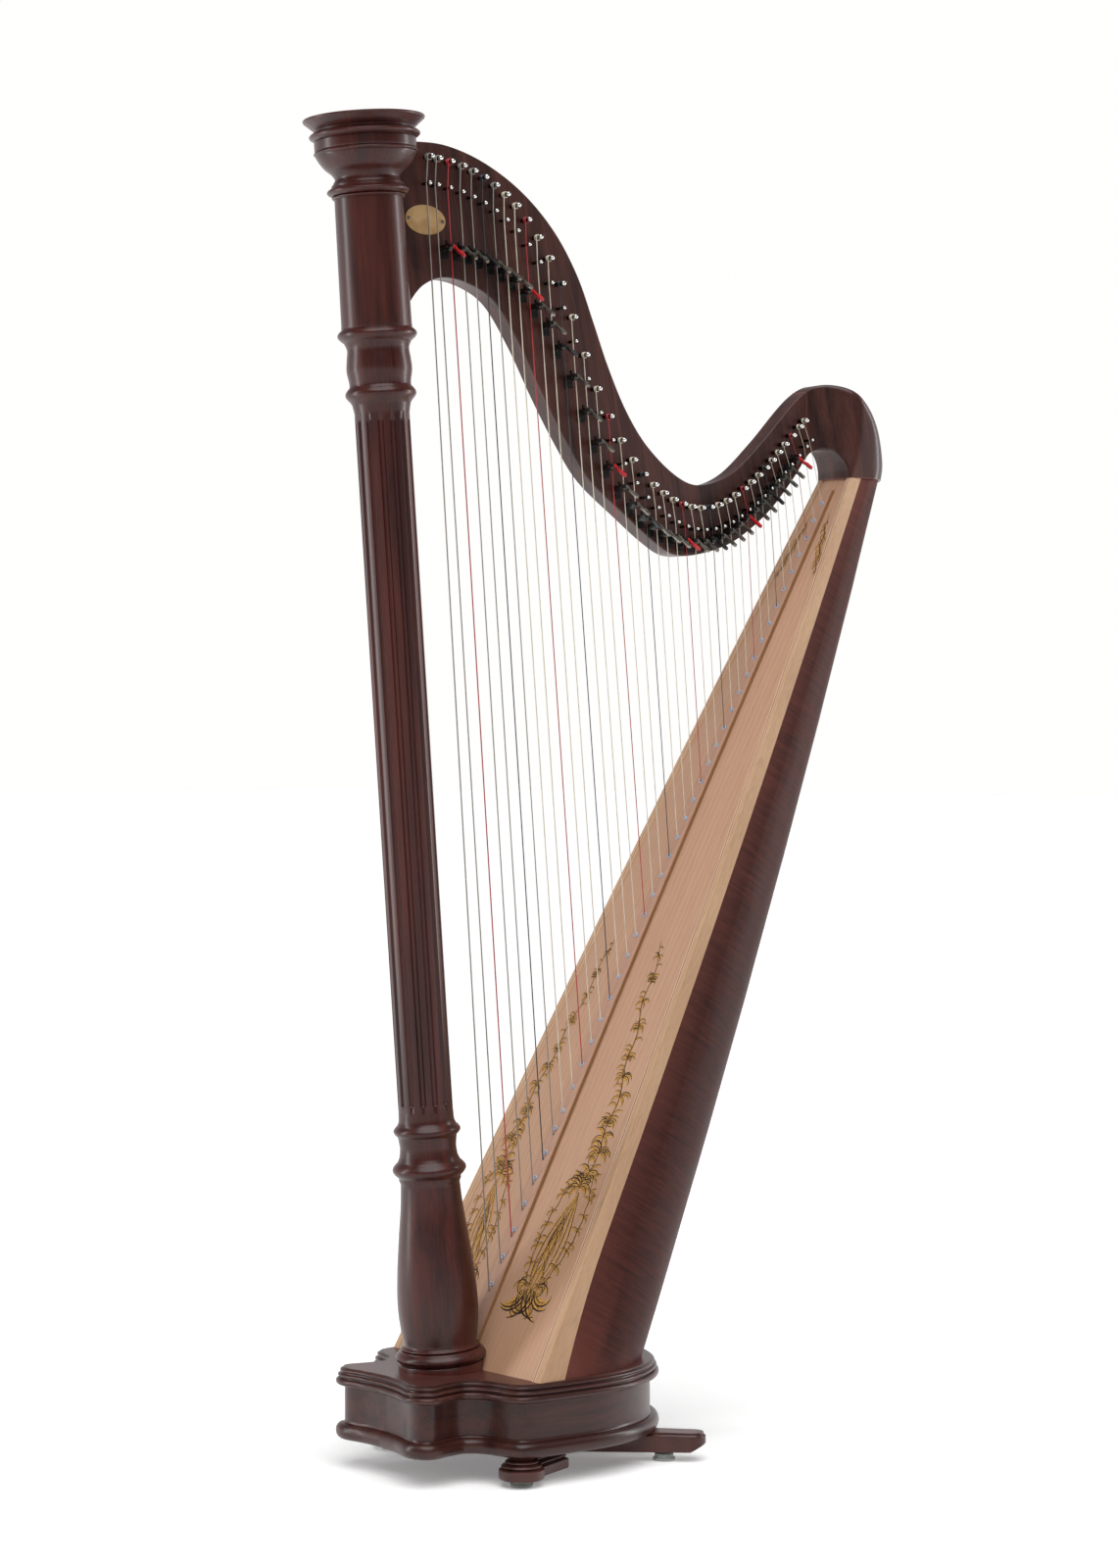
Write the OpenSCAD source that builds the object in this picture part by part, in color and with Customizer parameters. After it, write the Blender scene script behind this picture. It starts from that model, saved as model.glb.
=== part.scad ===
// Floor-standing harp with forty strings and thirty-six sharpening levers.
// Millimetres. +X runs from the column to the player, +Y to the harp's right side, +Z up.
// The shapes are drawn with the column's foot at X = 0 and moved to the centre at the end.

/* [Base] */
// Height of the base's top face, where column and soundbox stand
base_top = 116; // [100:1:130]
// Half the width of the base at its widest
base_half_w = 148; // [140:1:165]
// Reach of the base behind its centre, along X
base_back = 167; // [160:1:180]
// Thickness of the moulded cap board
cap_h = 20; // [14:1:28]
// Overhang of the cap beyond the plinth
cap_over = 11; // [6:1:16]
// Height of the moulding under the plinth
foot_rail_h = 17; // [12:1:22]
// Thickness of the feet
foot_h = 26; // [20:1:34]
// Height of the glides under the feet
glide_h = 8; // [5:1:12]

/* [Column] */
// Lean of the column towards the front, in degrees
column_lean = 4.33; // [3:0.01:6]
// Length of the column from the base to the capital
column_len = 1345; // [1200:1:1400]
// Radius of the fluted shaft
shaft_r = 31.3; // [26:0.1:36]
// Number of flutes round the shaft
flute_count = 14; // [8:1:20]
// Radius of one flute
flute_r = 3.2; // [2:0.1:4]
// Radius of the capital's rim
rim_r = 69.5; // [60:0.5:80]
// Height of the capital
capital_h = 87; // [70:1:100]

/* [Soundbox] */
// Angle of the soundboard above the floor, in degrees
board_angle = 61.5; // [58:0.1:66]
// Place of the soundboard's foot behind the column's foot
board_foot = 31; // [20:1:50]
// Length of the soundboard along its slope
board_len = 1201; // [1000:1:1300]
// Half the soundbox width at the bottom
half_w_low = 146.5; // [120:0.5:160]
// Half the soundbox width at the top
half_w_top = 31.5; // [25:0.5:40]
// How far the long sides bow outwards
side_bow = 9; // [0:0.5:14]
// Depth of the straight side walls at the bottom
wall_d_low = 62; // [40:1:80]
// Depth of the straight side walls at the top
wall_d_top = 31; // [20:1:40]
// Thickness of the shell
shell_t = 6; // [4:0.5:9]
// Thickness of the soundboard
board_t = 5; // [3:0.5:8]
// Number of sound holes in the shell's back
hole_count = 5; // [3:1:6]

/* [Neck] */
// Near face of the neck, to the right of the middle plane
neck_near = 5; // [3:0.5:8]
// Far face of the neck
neck_far = 31.5; // [28:0.5:40]
// Place where the neck meets the shoulder block
neck_end = 562; // [555:1:575]
// Height of the joint between shoulder block and soundbox
joint_z = 1171; // [1150:1:1190]

/* [Strings] */
// Number of strings
string_count = 40; // [34:1:40]
// Number of wound bass strings
wire_count = 7; // [5:1:12]
// Radius of the thickest string
string_r_low = 0.85; // [0.6:0.05:1]
// Radius of the thinnest string
string_r_top = 0.32; // [0.25:0.01:0.5]
// How far the strings stand off the middle plane at the bridge pins
string_off = 6; // [4:0.5:8]

/* [Pins and levers] */
// Radius of a tuning pin
tuning_r = 2.6; // [2.4:0.1:3.4]
// Radius of a bridge pin
bridge_r = 1.8; // [1.4:0.1:2.2]
// Number of the first string with a lever, counted from the column
lever_first = 3; // [1:1:6]
// Number of levers
lever_count = 36; // [30:1:38]
// Length of a lever's paddle from its axle
paddle_len = 21; // [16:0.5:24]
// Angle of the paddle below the outward direction when the lever is off
paddle_rest = 38; // [30:1:50]

/* [Hidden] */
$fn = 48;

LETTERS = ["c", "d", "e", "f", "g", "a", "b"];
function letter(i) = LETTERS[(i + 4) % 7];
function two(i) = i < 10 ? str("0", i) : str(i);
function lever_name(i) = str("lever_", two(i), "_", letter(i));

FIXED_NODES = [
    "base_plinth", "base_cap", "base_foot_moulding", "feet", "foot_glides",
    "column", "capital", "neck", "shoulder_block",
    "soundbox_shell", "side_rails", "soundboard", "string_rib", "inner_bars", "shell_braces",
    "string_grommets", "wire_strings", "plain_strings", "red_strings", "black_strings",
    "tuning_pins", "bridge_pins", "lever_brackets", "nameplate"
];
LEVERS = [lever_first : lever_first + lever_count - 1];

mahogany = [0.27, 0.12, 0.09];
mahogany_dark = [0.20, 0.09, 0.07];
maple = [0.86, 0.70, 0.50];
steel = [0.75, 0.75, 0.74];
red_paint = [0.72, 0.07, 0.08];
black_paint = [0.06, 0.06, 0.07];
grey_metal = [0.25, 0.25, 0.25];

eps = 0.01;
foot_rail_z = glide_h + foot_h;
plinth_z = foot_rail_z + foot_rail_h;
cap_z = base_top - cap_h;
shoulder_back = 680;
middle_x = (shoulder_back - column_len * sin(column_lean) - 8 - rim_r) / 2;

// ---------- curves ----------

// One stretch of a smooth curve from b to c, with a and d as its neighbours
function stretch(a, b, c, d, t) =
    0.5 * (2 * b + (c - a) * t + (2 * a - 5 * b + 4 * c - d) * t * t + (3 * b - a - 3 * c + d) * t * t * t);

// The point at t in 0..1 of a smooth curve through evenly counted points
function along(pts, t) =
    let (n = len(pts) - 1, k = min(floor(t * n), n - 1), f = t * n - k)
    stretch(pts[max(k - 1, 0)], pts[k], pts[k + 1], pts[min(k + 2, n)], f);

function smooth(pts, steps = 4) = let (n = (len(pts) - 1) * steps) [for (k = [0 : n]) along(pts, k / n)];

function lerp(a, b, t) = a + (b - a) * t;
function reversed(list) = [for (k = [len(list) - 1 : -1 : 0]) list[k]];
function flipped(pts) = [for (p = reversed(pts)) [p[0], -p[1]]];
function wave(t) = (1 - cos(180 * t)) / 2;

// A closed outline moved outwards by d, for points that run anticlockwise
function grown(pts, d) =
    let (n = len(pts))
    [for (k = [0 : n - 1])
        let (v = pts[(k + 1) % n] - pts[(k + n - 1) % n])
        pts[k] + d * [v[1], -v[0]] / norm(v)];

// ---------- helpers ----------

// A round rod between two points
module rod(p, q, r, fn = 14) {
    v = q - p;
    flat = norm([v[0], v[1]]);
    translate(p)
        rotate([0, atan2(flat, v[2]), atan2(v[1], v[0])])
            cylinder(r = r, h = norm(v), $fn = fn);
}

// A thick plate in the X-Z plane from y0 to y1
module side_plate(outline, y0, y1) {
    translate([0, y1, 0])
        rotate([90, 0, 0])
            linear_extrude(y1 - y0)
                polygon(outline);
}

module above(z) {
    translate([-600, -400, z])
        cube([1600, 800, 700]);
}

module below(z) {
    translate([-600, -400, z - 700])
        cube([1600, 800, 700]);
}

// ---------- base ----------

base_mid = 102;
// Right half of the plinth's outline, from the front to the corner beside the soundboard
front_half = [[-77, 0], [-80, 34], [-86, 66], [-76, 84], [-52, 80], [-26, 78], [-6, 96], [6, 132], [19, 143]];
side_arc = [for (a = [90 : -9 : 9]) [base_mid + base_back * cos(a), base_half_w * sin(a)]];
right_half = concat(smooth(front_half, 3), side_arc);
plinth_outline = concat(
    flipped(right_half),
    [for (k = [1 : len(right_half) - 1]) right_half[k]],
    [[base_mid + base_back, 0]]
);
base_outline = reversed(plinth_outline);

// One board of the base, grown by d beyond the plinth
module base_board(z, h, d) {
    translate([0, 0, z])
        linear_extrude(h)
            polygon(d == 0 ? base_outline : grown(base_outline, d));
}

module base_plinth() {
    color(mahogany) base_board(plinth_z, cap_z - plinth_z, 0);
}

// The cap's moulded edge as steps: height share, overhang share
cap_steps = [[0, 0.35], [0.15, 0.9], [0.4, 0.7], [0.55, 0.45], [0.7, 0.55], [0.85, 0.1]];

module base_cap() {
    color(mahogany)
        for (k = [0 : len(cap_steps) - 1]) {
            top = k + 1 < len(cap_steps) ? cap_steps[k + 1][0] : 1;
            base_board(cap_z + cap_steps[k][0] * cap_h, (top - cap_steps[k][0]) * cap_h, cap_over * cap_steps[k][1]);
        }
}

// The bullnose under the plinth, as steps of a half round
module base_foot_moulding() {
    steps = 5;
    color(mahogany)
        for (k = [0 : steps - 1])
            base_board(
                foot_rail_z + k * foot_rail_h / steps,
                foot_rail_h / steps,
                9.5 * sin(lerp(32, 150, k / (steps - 1)))
            );
}

// A foot seen from above: a bar with a round toe. The heel is inside, the toe outside.
// Each row: glide place, direction in degrees, heel length, toe length, toe radius, heel half width
front_foot = [19, 129, 158, 75, 26, 26, 17];
rear_foot = [235, 116, 47, 110, 49, 16, 16];

module foot_shape(f, side) {
    translate([f[0], side * f[1], glide_h])
        rotate([0, 0, side * f[2]]) {
            translate([-f[3], -f[6], 0])
                cube([f[3] + f[4] - f[5], 2 * f[6], foot_h]);
            translate([f[4] - f[5], 0, 0])
                cylinder(r = f[5], h = foot_h);
        }
}

module feet() {
    color(mahogany_dark)
        for (side = [-1, 1]) {
            foot_shape(front_foot, side);
            foot_shape(rear_foot, side);
        }
}

module glide(f, side) {
    translate([f[0], side * f[1], 0]) {
        cylinder(r = 13, h = 3);
        translate([0, 0, 3])
            cylinder(r = 11, h = glide_h - 3);
    }
}

module foot_glides() {
    color([0.7, 0.72, 0.68])
        for (side = [-1, 1]) {
            glide(front_foot, side);
            glide(rear_foot, side);
        }
}

// ---------- column ----------

// A rounded bead between two heights on the turned profile
function bead(s0, s1, r, out, n = 6) = [for (k = [0 : n]) [r + out * sin(180 * k / n), lerp(s0, s1, k / n)]];

// Radius and height along the column, from the base upwards
column_profile = concat(
    [[0, -12], [49.6, -12], [49.6, 12]],
    bead(13, 25, 46, 6.5),
    [[45.5, 27], [44.5, 30]],
    smooth([[42, 33], [45, 55], [46.4, 80], [44.5, 115], [40.5, 153], [36, 190], [34, 218]], 3),
    bead(225, 243, 36, 6.4),
    smooth([[33.5, 249], [32.4, 259], [33.5, 269]], 3),
    bead(272, 285, 34, 4.6),
    smooth([[32, 290], [shaft_r + 0.2, 300], [shaft_r, 320]], 2),
    [[shaft_r, 1085]],
    smooth([[shaft_r + 0.2, 1098], [33.5, 1110]], 2),
    bead(1113, 1129, 35.5, 5),
    smooth([[35, 1134], [37.4, 1148], [36.6, 1160], [35.4, 1172], [38.5, 1180]], 3),
    bead(1181, 1195, 40, 5.4),
    [[40.2, 1199], [38.9, column_len - 4]],
    [[41.5, column_len - 3], [41.5, column_len], [0, column_len]]
);

// Radius and height of the capital, from the column's top upwards
capital_profile = concat(
    [[0, 0], [41, 0]],
    bead(0.5, 9.5, 42, 5),
    [[41, 10], [40, 13], [38.5, 15]],
    smooth([[37, 20], [41, 26], [48, 32], [54, 40], [57, 46]], 3),
    bead(47, 51, 57, 2),
    [[58, 52], [58, 62]],
    bead(63, 73, 57.5, 5.8),
    [[57, 74], [rim_r, 86], [rim_r - 1, capital_h], [0, capital_h]]
);

module lean() {
    translate([0, 0, base_top - 2])
        rotate([0, -column_lean, 0])
            children();
}

module turned(profile) {
    rotate_extrude()
        polygon(profile);
}

module flute(angle) {
    rotate([0, 0, angle])
        translate([shaft_r + 1, 0, 0]) {
            translate([0, 0, 316])
                cylinder(r = flute_r, h = 770, $fn = 24);
            for (s = [316, 1086])
                translate([0, 0, s])
                    sphere(r = flute_r, $fn = 24);
        }
}

module column_solid() {
    lean() turned(column_profile);
}

module capital_solid() {
    lean()
        translate([0, 0, column_len])
            turned(capital_profile);
}

module column() {
    color(mahogany)
        difference() {
            column_solid();
            lean()
                for (k = [0 : flute_count - 1])
                    flute((k + 0.5) * 360 / flute_count);
            below(base_top);
            in_box()
                translate([-100, -200, -200])
                    cube([400, 400, 200]);
        }
}

module capital() {
    color(mahogany_dark) capital_solid();
}

// ---------- soundbox ----------
// Its own frame: x runs up along the board, y to the right, z out of the board's face.

module in_box() {
    translate([board_foot, 0, base_top])
        rotate([0, -board_angle, 0])
            children();
}

// The frame tilted further so that x runs along the axis of the round back
box_tilt = atan((wall_d_low - wall_d_top) / board_len);

module in_back() {
    in_box()
        translate([0, 0, -wall_d_low])
            rotate([0, -box_tilt, 0])
                children();
}

function half_w(t) = lerp(half_w_low, half_w_top, t) + 4 * side_bow * t * (1 - t);
box_ts = [-0.09, 0, 0.15, 0.3, 0.45, 0.6, 0.75, 0.9, 1.06];

// The plan of the box, d inside its sides
function box_plan(d) =
    let (side = [for (t = box_ts) [t * board_len, half_w(t) - d]])
    concat(side, flipped(side));

// The round back as a solid of revolution, d inside its surface
module back_round(d) {
    rotate([0, 90, 0])
        rotate_extrude($fn = 96)
            polygon(concat(
                [[0, box_ts[0] * board_len]],
                [for (t = box_ts) [half_w(t) - d, t * board_len]],
                [[0, box_ts[len(box_ts) - 1] * board_len]]
            ));
}

module lower_half() {
    translate([-300, -300, -300])
        cube([1800, 600, 300]);
}

// The straight walls and the round back together, d inside the outer face
module box_body(d) {
    in_back() {
        intersection() {
            back_round(d);
            lower_half();
        }
        linear_extrude(100)
            polygon(box_plan(d));
    }
}

// Depth of the side rails below the board's face, with the flare at the foot
function rail_d(t) = lerp(19, 16, t) + 16 * pow(max(0, 1 - t / 0.16), 2);
rail_ts = [-0.09, 0, 0.02, 0.05, 0.09, 0.16, 1.06];
rail_line = [for (t = rail_ts) [t * board_len, -rail_d(t)]];
rail_profile = concat(rail_line, [[1.06 * board_len, 0], [-0.09 * board_len, 0]]);

module below_rails() {
    side_plate(concat(rail_line, [[1.06 * board_len, -300], [-0.09 * board_len, -300]]), -200, 200);
}

function hole_t(k) = lerp(0.13, 0.80, k / (hole_count - 1));
function hole_half_l(k) = lerp(62, 42, k / (hole_count - 1));
function hole_r(k) = lerp(30, 15, k / (hole_count - 1));

// A long round-ended hole through the middle of the round back
module sound_hole(k) {
    r = hole_r(k);
    reach = hole_half_l(k) - r;
    in_back()
        translate([hole_t(k) * board_len, 0, -190]) {
            for (side = [-1, 1])
                translate([side * reach, 0, 0])
                    cylinder(r = r, h = 170);
            translate([-reach, -r, 0])
                cube([2 * reach, 2 * r, 170]);
        }
}

module soundbox_shell() {
    color(mahogany)
        difference() {
            intersection() {
                box_body(0);
                in_box() below_rails();
            }
            box_body(shell_t);
            for (k = [0 : hole_count - 1])
                sound_hole(k);
            below(base_top);
            above(joint_z);
        }
}

// Width of a side rail on the board's face
function rail_w(t) = lerp(18, 11, t);
lip = 2.5;

module plan_plate(inset_low, inset_top, z0, z1) {
    side = [for (t = box_ts) [t * board_len, half_w(t) - lerp(inset_low, inset_top, t)]];
    translate([0, 0, z0])
        linear_extrude(z1 - z0)
            polygon(concat(side, flipped(side)));
}

module side_rails() {
    color(maple)
        difference() {
            intersection() {
                in_back()
                    linear_extrude(100)
                        polygon(box_plan(0));
                in_box()
                    side_plate(rail_profile, -200, 200);
            }
            in_box() {
                plan_plate(rail_w(0), rail_w(1), -60, 10);
                plan_plate(9, 5, -lip - board_t, -lip);
            }
            below(base_top);
            above(joint_z);
        }
}

module soundboard() {
    color(maple)
        difference() {
            in_box() plan_plate(9, 5, -lip - board_t, -lip);
            below(base_top);
            above(joint_z);
        }
}

// Height of the string rib above the rails' face: it follows the board's belly
function rib_h(t) = lerp(6, 2, t) + 4 * 6 * t * (1 - t);
rib_ts = [for (k = [0 : 10]) lerp(0.045, 0.985, k / 10)];
rib_w_low = 14;
rib_w_top = 8;
grommet_r = 3.4;
// How far the wound strings' grommets sit above their holes
wound_shift = 8;

module string_rib() {
    color([0.72, 0.52, 0.40])
        difference() {
            plain_rib();
            for (i = [1 : string_count])
                at_grommet(i)
                    cylinder(r = grommet_r, h = 4, $fn = 24);
            for (i = [1 : wire_count])
                at_eyelet(i)
                    translate([0, 0, -3])
                        cylinder(r = 1.5, h = 6, $fn = 16);
        }
}

module plain_rib() {
    in_box()
        intersection() {
            side_plate(
                concat(
                    [for (t = rib_ts) [t * board_len, rib_h(t)]],
                    [[rib_ts[10] * board_len, -lip], [rib_ts[0] * board_len, -lip]]
                ),
                -20, 20
            );
            translate([0, 0, -lip])
                linear_extrude(30)
                    polygon([
                        [0, -rib_w_low], [board_len, -rib_w_top],
                        [board_len, rib_w_top], [0, rib_w_low]
                    ]);
        }
}

// A straight bar glued under the board
module inner_bar(y_low, y_top, w, h) {
    x0 = 0.07 * board_len;
    x1 = 0.93 * board_len;
    translate([0, 0, -lip - board_t - h])
        linear_extrude(h)
            polygon([[x0, y_low - w], [x1, y_top - w], [x1, y_top + w], [x0, y_low + w]]);
}

module inner_bars() {
    color(maple)
        in_box() {
            inner_bar(0, 0, 6, 7);
            for (side = [-1, 1])
                inner_bar(side * 62, side * 15, 2, 5);
        }
}

brace_ts = [0.215, 0.385, 0.55, 0.72];

module shell_braces() {
    color(mahogany_dark) {
        in_back()
            for (t = brace_ts)
                intersection() {
                    difference() {
                        back_round(shell_t);
                        back_round(shell_t + 9);
                    }
                    translate([t * board_len, -200, -200])
                        cube([14, 400, 200]);
                }
        // Bottom block and top block
        difference() {
            intersection() {
                box_body(shell_t);
                in_box()
                    translate([-200, -200, -400])
                        cube([1500, 400, 400 - 36]);
            }
            translate([-600, -400, base_top + 22])
                cube([1600, 800, joint_z - base_top - 62]);
            below(base_top);
            above(joint_z);
        }
    }
}

// ---------- neck ----------

upper_edge = [
    [-84, 1519], [-32, 1526], [14, 1525.5], [67, 1511], [121, 1482], [167, 1441], [201, 1392],
    [225, 1339], [247, 1288], [275, 1236], [308, 1195], [353, 1162], [391, 1153], [438, 1169],
    [487, 1210], [536, 1259], [neck_end, 1281]
];
lower_edge = [
    [-60, 1296], [-53, 1318], [-39, 1343], [-20, 1363], [8, 1373], [45, 1368], [81, 1349],
    [116, 1303], [150, 1246], [184, 1194], [219, 1150], [275, 1109], [318, 1080], [350, 1066],
    [391, 1069], [443, 1086], [496, 1122], [536, 1163], [neck_end, 1196]
];

module neck() {
    outline = concat(smooth(upper_edge, 4), reversed(smooth(lower_edge, 4)), [[-84, 1296]]);
    color(mahogany)
        difference() {
            side_plate(outline, neck_near, neck_far);
            lean() {
                translate([0, 0, 1100])
                    cylinder(r = 47, h = 300);
                translate([0, 0, column_len + 15])
                    cylinder(r1 = 47, r2 = 64, h = 35);
                translate([0, 0, column_len + 50])
                    cylinder(r = 64, h = 60);
            }
            for (i = [1 : string_count]) {
                pin_bore(tuning_pin_at(i), tuning_r, neck_far + 1);
                pin_bore(bridge_pin_at(i), bridge_r, neck_near + 15);
            }
        }
}

module pin_bore(at, r, y1) {
    translate([at[0], neck_near - 1, at[1]])
        rotate([-90, 0, 0])
            cylinder(r = r, h = y1 - neck_near + 1, $fn = 16);
}

// Side view of the shoulder block, over the arch and round the back
shoulder_top = [
    [neck_end, 1281], [583, 1287.5], [606, 1284], [629, 1271], [648, 1251.5],
    [665, 1230], [677, 1208], [shoulder_back, 1189], [676, joint_z]
];
shoulder_arch = [[neck_end, 1196], [571, 1205], [583, 1208.5], [594, 1203], [600.5, 1190], [603.5, joint_z]];
flare_len = 53;

// Plan of the shoulder block: the near face flares out and the back is rounded
shoulder_plan = concat(
    [for (k = [0 : 8]) [neck_end + flare_len * k / 8, lerp(neck_near, -half_w_top, wave(k / 8))]],
    [for (a = [-90 : 10 : 90]) [643 + (shoulder_back - 643) * cos(a), half_w_top * sin(a)]],
    [[neck_end, neck_far]]
);

module shoulder_block() {
    color(mahogany_dark)
        intersection() {
            side_plate(concat(smooth(shoulder_top, 3), reversed(smooth(shoulder_arch, 3))), -60, 60);
            translate([0, 0, joint_z])
                linear_extrude(200)
                    polygon(shoulder_plan);
        }
}

// ---------- strings and pins ----------

// Distance of the eyelets up the board, and the bridge pins, at evenly counted strings
eyelet_run = [90, 496, 838, 1163];
bridge_line = [
    [-26, 1477.5], [21, 1472], [68.5, 1455], [116, 1420], [167, 1350], [222, 1230], [277, 1149],
    [326, 1112], [371, 1098], [414, 1103], [455, 1125.5], [491, 1153.5], [523.5, 1185], [557, 1217]
];

function string_t(i) = (i - 1) / (40 - 1);
// A cubic through four evenly spaced values
function cubic(v, t) =
    let (u = 3 * t)
    v[0] * (1 - u) * (2 - u) * (3 - u) / 6 + v[1] * u * (2 - u) * (3 - u) / 2
    - v[2] * u * (1 - u) * (3 - u) / 2 + v[3] * u * (1 - u) * (2 - u) / 6;
function board_point(x, z) = [
    board_foot + x * cos(board_angle) - z * sin(board_angle),
    base_top + x * sin(board_angle) + z * cos(board_angle)
];
function eyelet(i) =
    let (x = cubic(eyelet_run, string_t(i)), p = board_point(x, rib_h(x / board_len)))
    [p[0], 0, p[1]];
function string_top(i) = let (p = along(bridge_line, string_t(i))) [p[0], -string_off, p[1]];
function string_r(i) = lerp(string_r_low, string_r_top, pow(string_t(i), 0.7));
function string_dir(i) = let (v = string_top(i) - eyelet(i)) v / norm(v);
function bridge_pin_at(i) = let (p = string_top(i)) [p[0] + bridge_r + string_r(i), p[2]];
function tuning_pin_at(i) =
    let (t = string_t(i), p = string_top(i))
    [p[0] + lerp(4, -9, t) + tuning_r * 0.5, p[2] + lerp(31, 24, t)];

// One string from its eyelet over the bridge pin to the tuning pin
module one_string(i) {
    top = string_top(i);
    pin = tuning_pin_at(i);
    r = string_r(i);
    end = [pin[0] - tuning_r - 1.3 * r, -string_off + 1, pin[1]];
    rod(eyelet(i), top, r);
    rod(top, end, r);
    translate(top)
        sphere(r = 1.15 * r, $fn = 14);
    // The turns wound on the tuning pin
    translate([pin[0], -string_off - 1.5, pin[1]])
        rotate([-90, 0, 0])
            difference() {
                cylinder(r = tuning_r + 2.6 * r, h = 5, $fn = 24);
                translate([0, 0, -1])
                    cylinder(r = tuning_r, h = 7, $fn = 24);
            }
}

module string_set(tone, wanted) {
    color(tone)
        for (i = [1 : string_count])
            if (string_kind(i) == wanted)
                one_string(i);
}

function string_kind(i) =
    letter(i) == "c" ? "red" : letter(i) == "f" ? "black" : i <= wire_count ? "wire" : "plain";

module wire_strings() { string_set([0.55, 0.52, 0.48], "wire"); }
module plain_strings() { string_set([0.88, 0.84, 0.74], "plain"); }
module red_strings() { string_set(red_paint, "red"); }
module black_strings() { string_set(black_paint, "black"); }

// A place just under the rib's face, up the board from a string's eyelet, with z out of the board
module at_eyelet(i, shift = 0) {
    x = cubic(eyelet_run, string_t(i)) + shift;
    in_box()
        translate([x, 0, rib_h(x / board_len) - 0.5])
            children();
}

module at_grommet(i) {
    at_eyelet(i, i <= wire_count ? wound_shift : 0)
        children();
}

// Each ring is notched where its string leans over the rim
module string_grommets() {
    color([0.62, 0.68, 0.78])
        for (i = [1 : string_count])
            difference() {
                at_grommet(i)
                    difference() {
                        cylinder(r = grommet_r, h = 1.8, $fn = 24);
                        translate([0, 0, -1])
                            cylinder(r = 1.5, h = 4, $fn = 16);
                    }
                rod(eyelet(i) - 5 * string_dir(i), eyelet(i) + 12 * string_dir(i), string_r(i) + 0.25);
            }
}

module tuning_pins() {
    color(steel)
        for (i = [1 : string_count]) {
            at = tuning_pin_at(i);
            translate([at[0], -10, at[1]])
                rotate([-90, 0, 0]) {
                    cylinder(r = tuning_r, h = neck_far + 14, $fn = 24);
                    sphere(r = tuning_r + 0.5, $fn = 24);
                    translate([-1.9, -1.9, neck_far + 14])
                        cube([3.8, 3.8, 12]);
                }
        }
}

module bridge_pins() {
    color(steel)
        for (i = [1 : string_count]) {
            at = bridge_pin_at(i);
            translate([at[0], -9.8, at[1]])
                rotate([-90, 0, 0]) {
                    cylinder(r = bridge_r, h = neck_near + 24.5, $fn = 16);
                    sphere(r = lerp(2.5, 1.9, string_t(i)), $fn = 20);
                }
        }
}

// ---------- levers ----------
// A lever's own frame: x across the string, y into the neck, z up along the string.

semitone = 1 - pow(2, -1 / 12);
axle_y = -string_off - 4;

function lever_at(i) = let (p = string_top(i) - string_dir(i) * semitone * norm(string_top(i) - eyelet(i))) [p[0], 0, p[2]];
function string_lean(i) = let (d = string_dir(i)) atan2(-d[0], d[2]);

module at_lever(i) {
    translate(lever_at(i))
        rotate([0, -string_lean(i), 0])
            children();
}

module across(x0, x1, r, y, z, fn = 20) {
    translate([x0, y, z])
        rotate([0, 90, 0])
            cylinder(r = r, h = x1 - x0, $fn = fn);
}

ear = [-8.2, -3.6];
ear_r = 4.6;

// Housing for the axle on the left of the string, on a plate screwed to the neck
module one_bracket() {
    plate_y = neck_near - 1.6;
    difference() {
        union() {
            translate([-8.4, plate_y, -12])
                cube([10.8, 1.6, 15]);
            translate([ear[0], axle_y, -3.4])
                cube([ear[1] - ear[0], plate_y - axle_y + 0.1, 6.8]);
            across(ear[0], ear[1], ear_r, axle_y, 0);
        }
        across(ear[0] - 1, ear[1] + 1, 1.05, axle_y, 0);
        translate([-5, plate_y - 1, -8.6])
            rotate([-90, 0, 0])
                cylinder(r = 1.5, h = 4, $fn = 16);
    }
    // Screw, prong and fret
    translate([-5, plate_y - 1.4, -8.6])
        rotate([-90, 0, 0]) {
            cylinder(r = 2.4, h = 1.4, $fn = 20);
            cylinder(r = 1.5, h = 3, $fn = 16);
        }
    translate([ear[0], axle_y + 1.4, 2])
        cube([1.8, 3, 6]);
    translate([-2.6, -4.4, -3])
        cube([4.8, plate_y + 4.4, 2]);
}

module lever_brackets() {
    color(grey_metal)
        for (i = LEVERS)
            at_lever(i) one_bracket();
}

// The moving lever: axle, cam and paddle. The cam points up along the string while
// the lever is off, and at the string when it is on.
module one_lever(i) {
    cam_reach = -string_off - string_r(i) - 0.3 - axle_y;
    translate([0, axle_y, 0])
        rotate([paddle_rest - 90, 0, 0]) {
            across(ear[0] + 0.2, ear[1] + 0.2, 1, 0, 0);
            across(ear[1] + 0.2, 3.6, 2, 0, 0);
            rotate([180 - paddle_rest, 0, 0])
                translate([-1.4, 0, -1.2])
                    cube([2.8, cam_reach, 2.4]);
            paddle(lerp(2.8, 2.2, string_t(i)));
        }
}

// A narrow root and a flat blade, w to each side of its middle, pointing down in the turned frame
module paddle(w) {
    blade_from = 9;
    translate([0, -1.3, 0])
        rotate([-90, 0, 0])
            linear_extrude(2.6) {
                translate([0.4, 0])
                    square([3.1, blade_from + 1]);
                translate([3.4 - w, blade_from])
                    square([2 * w, paddle_len - w - blade_from]);
                translate([3.4, paddle_len - w])
                    circle(r = w, $fn = 24);
            }
}

module lever(i) {
    tone = letter(i) == "c" ? red_paint : letter(i) == "f" ? black_paint : grey_metal;
    color(tone)
        at_lever(i) one_lever(i);
}

// ---------- nameplate ----------

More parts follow.
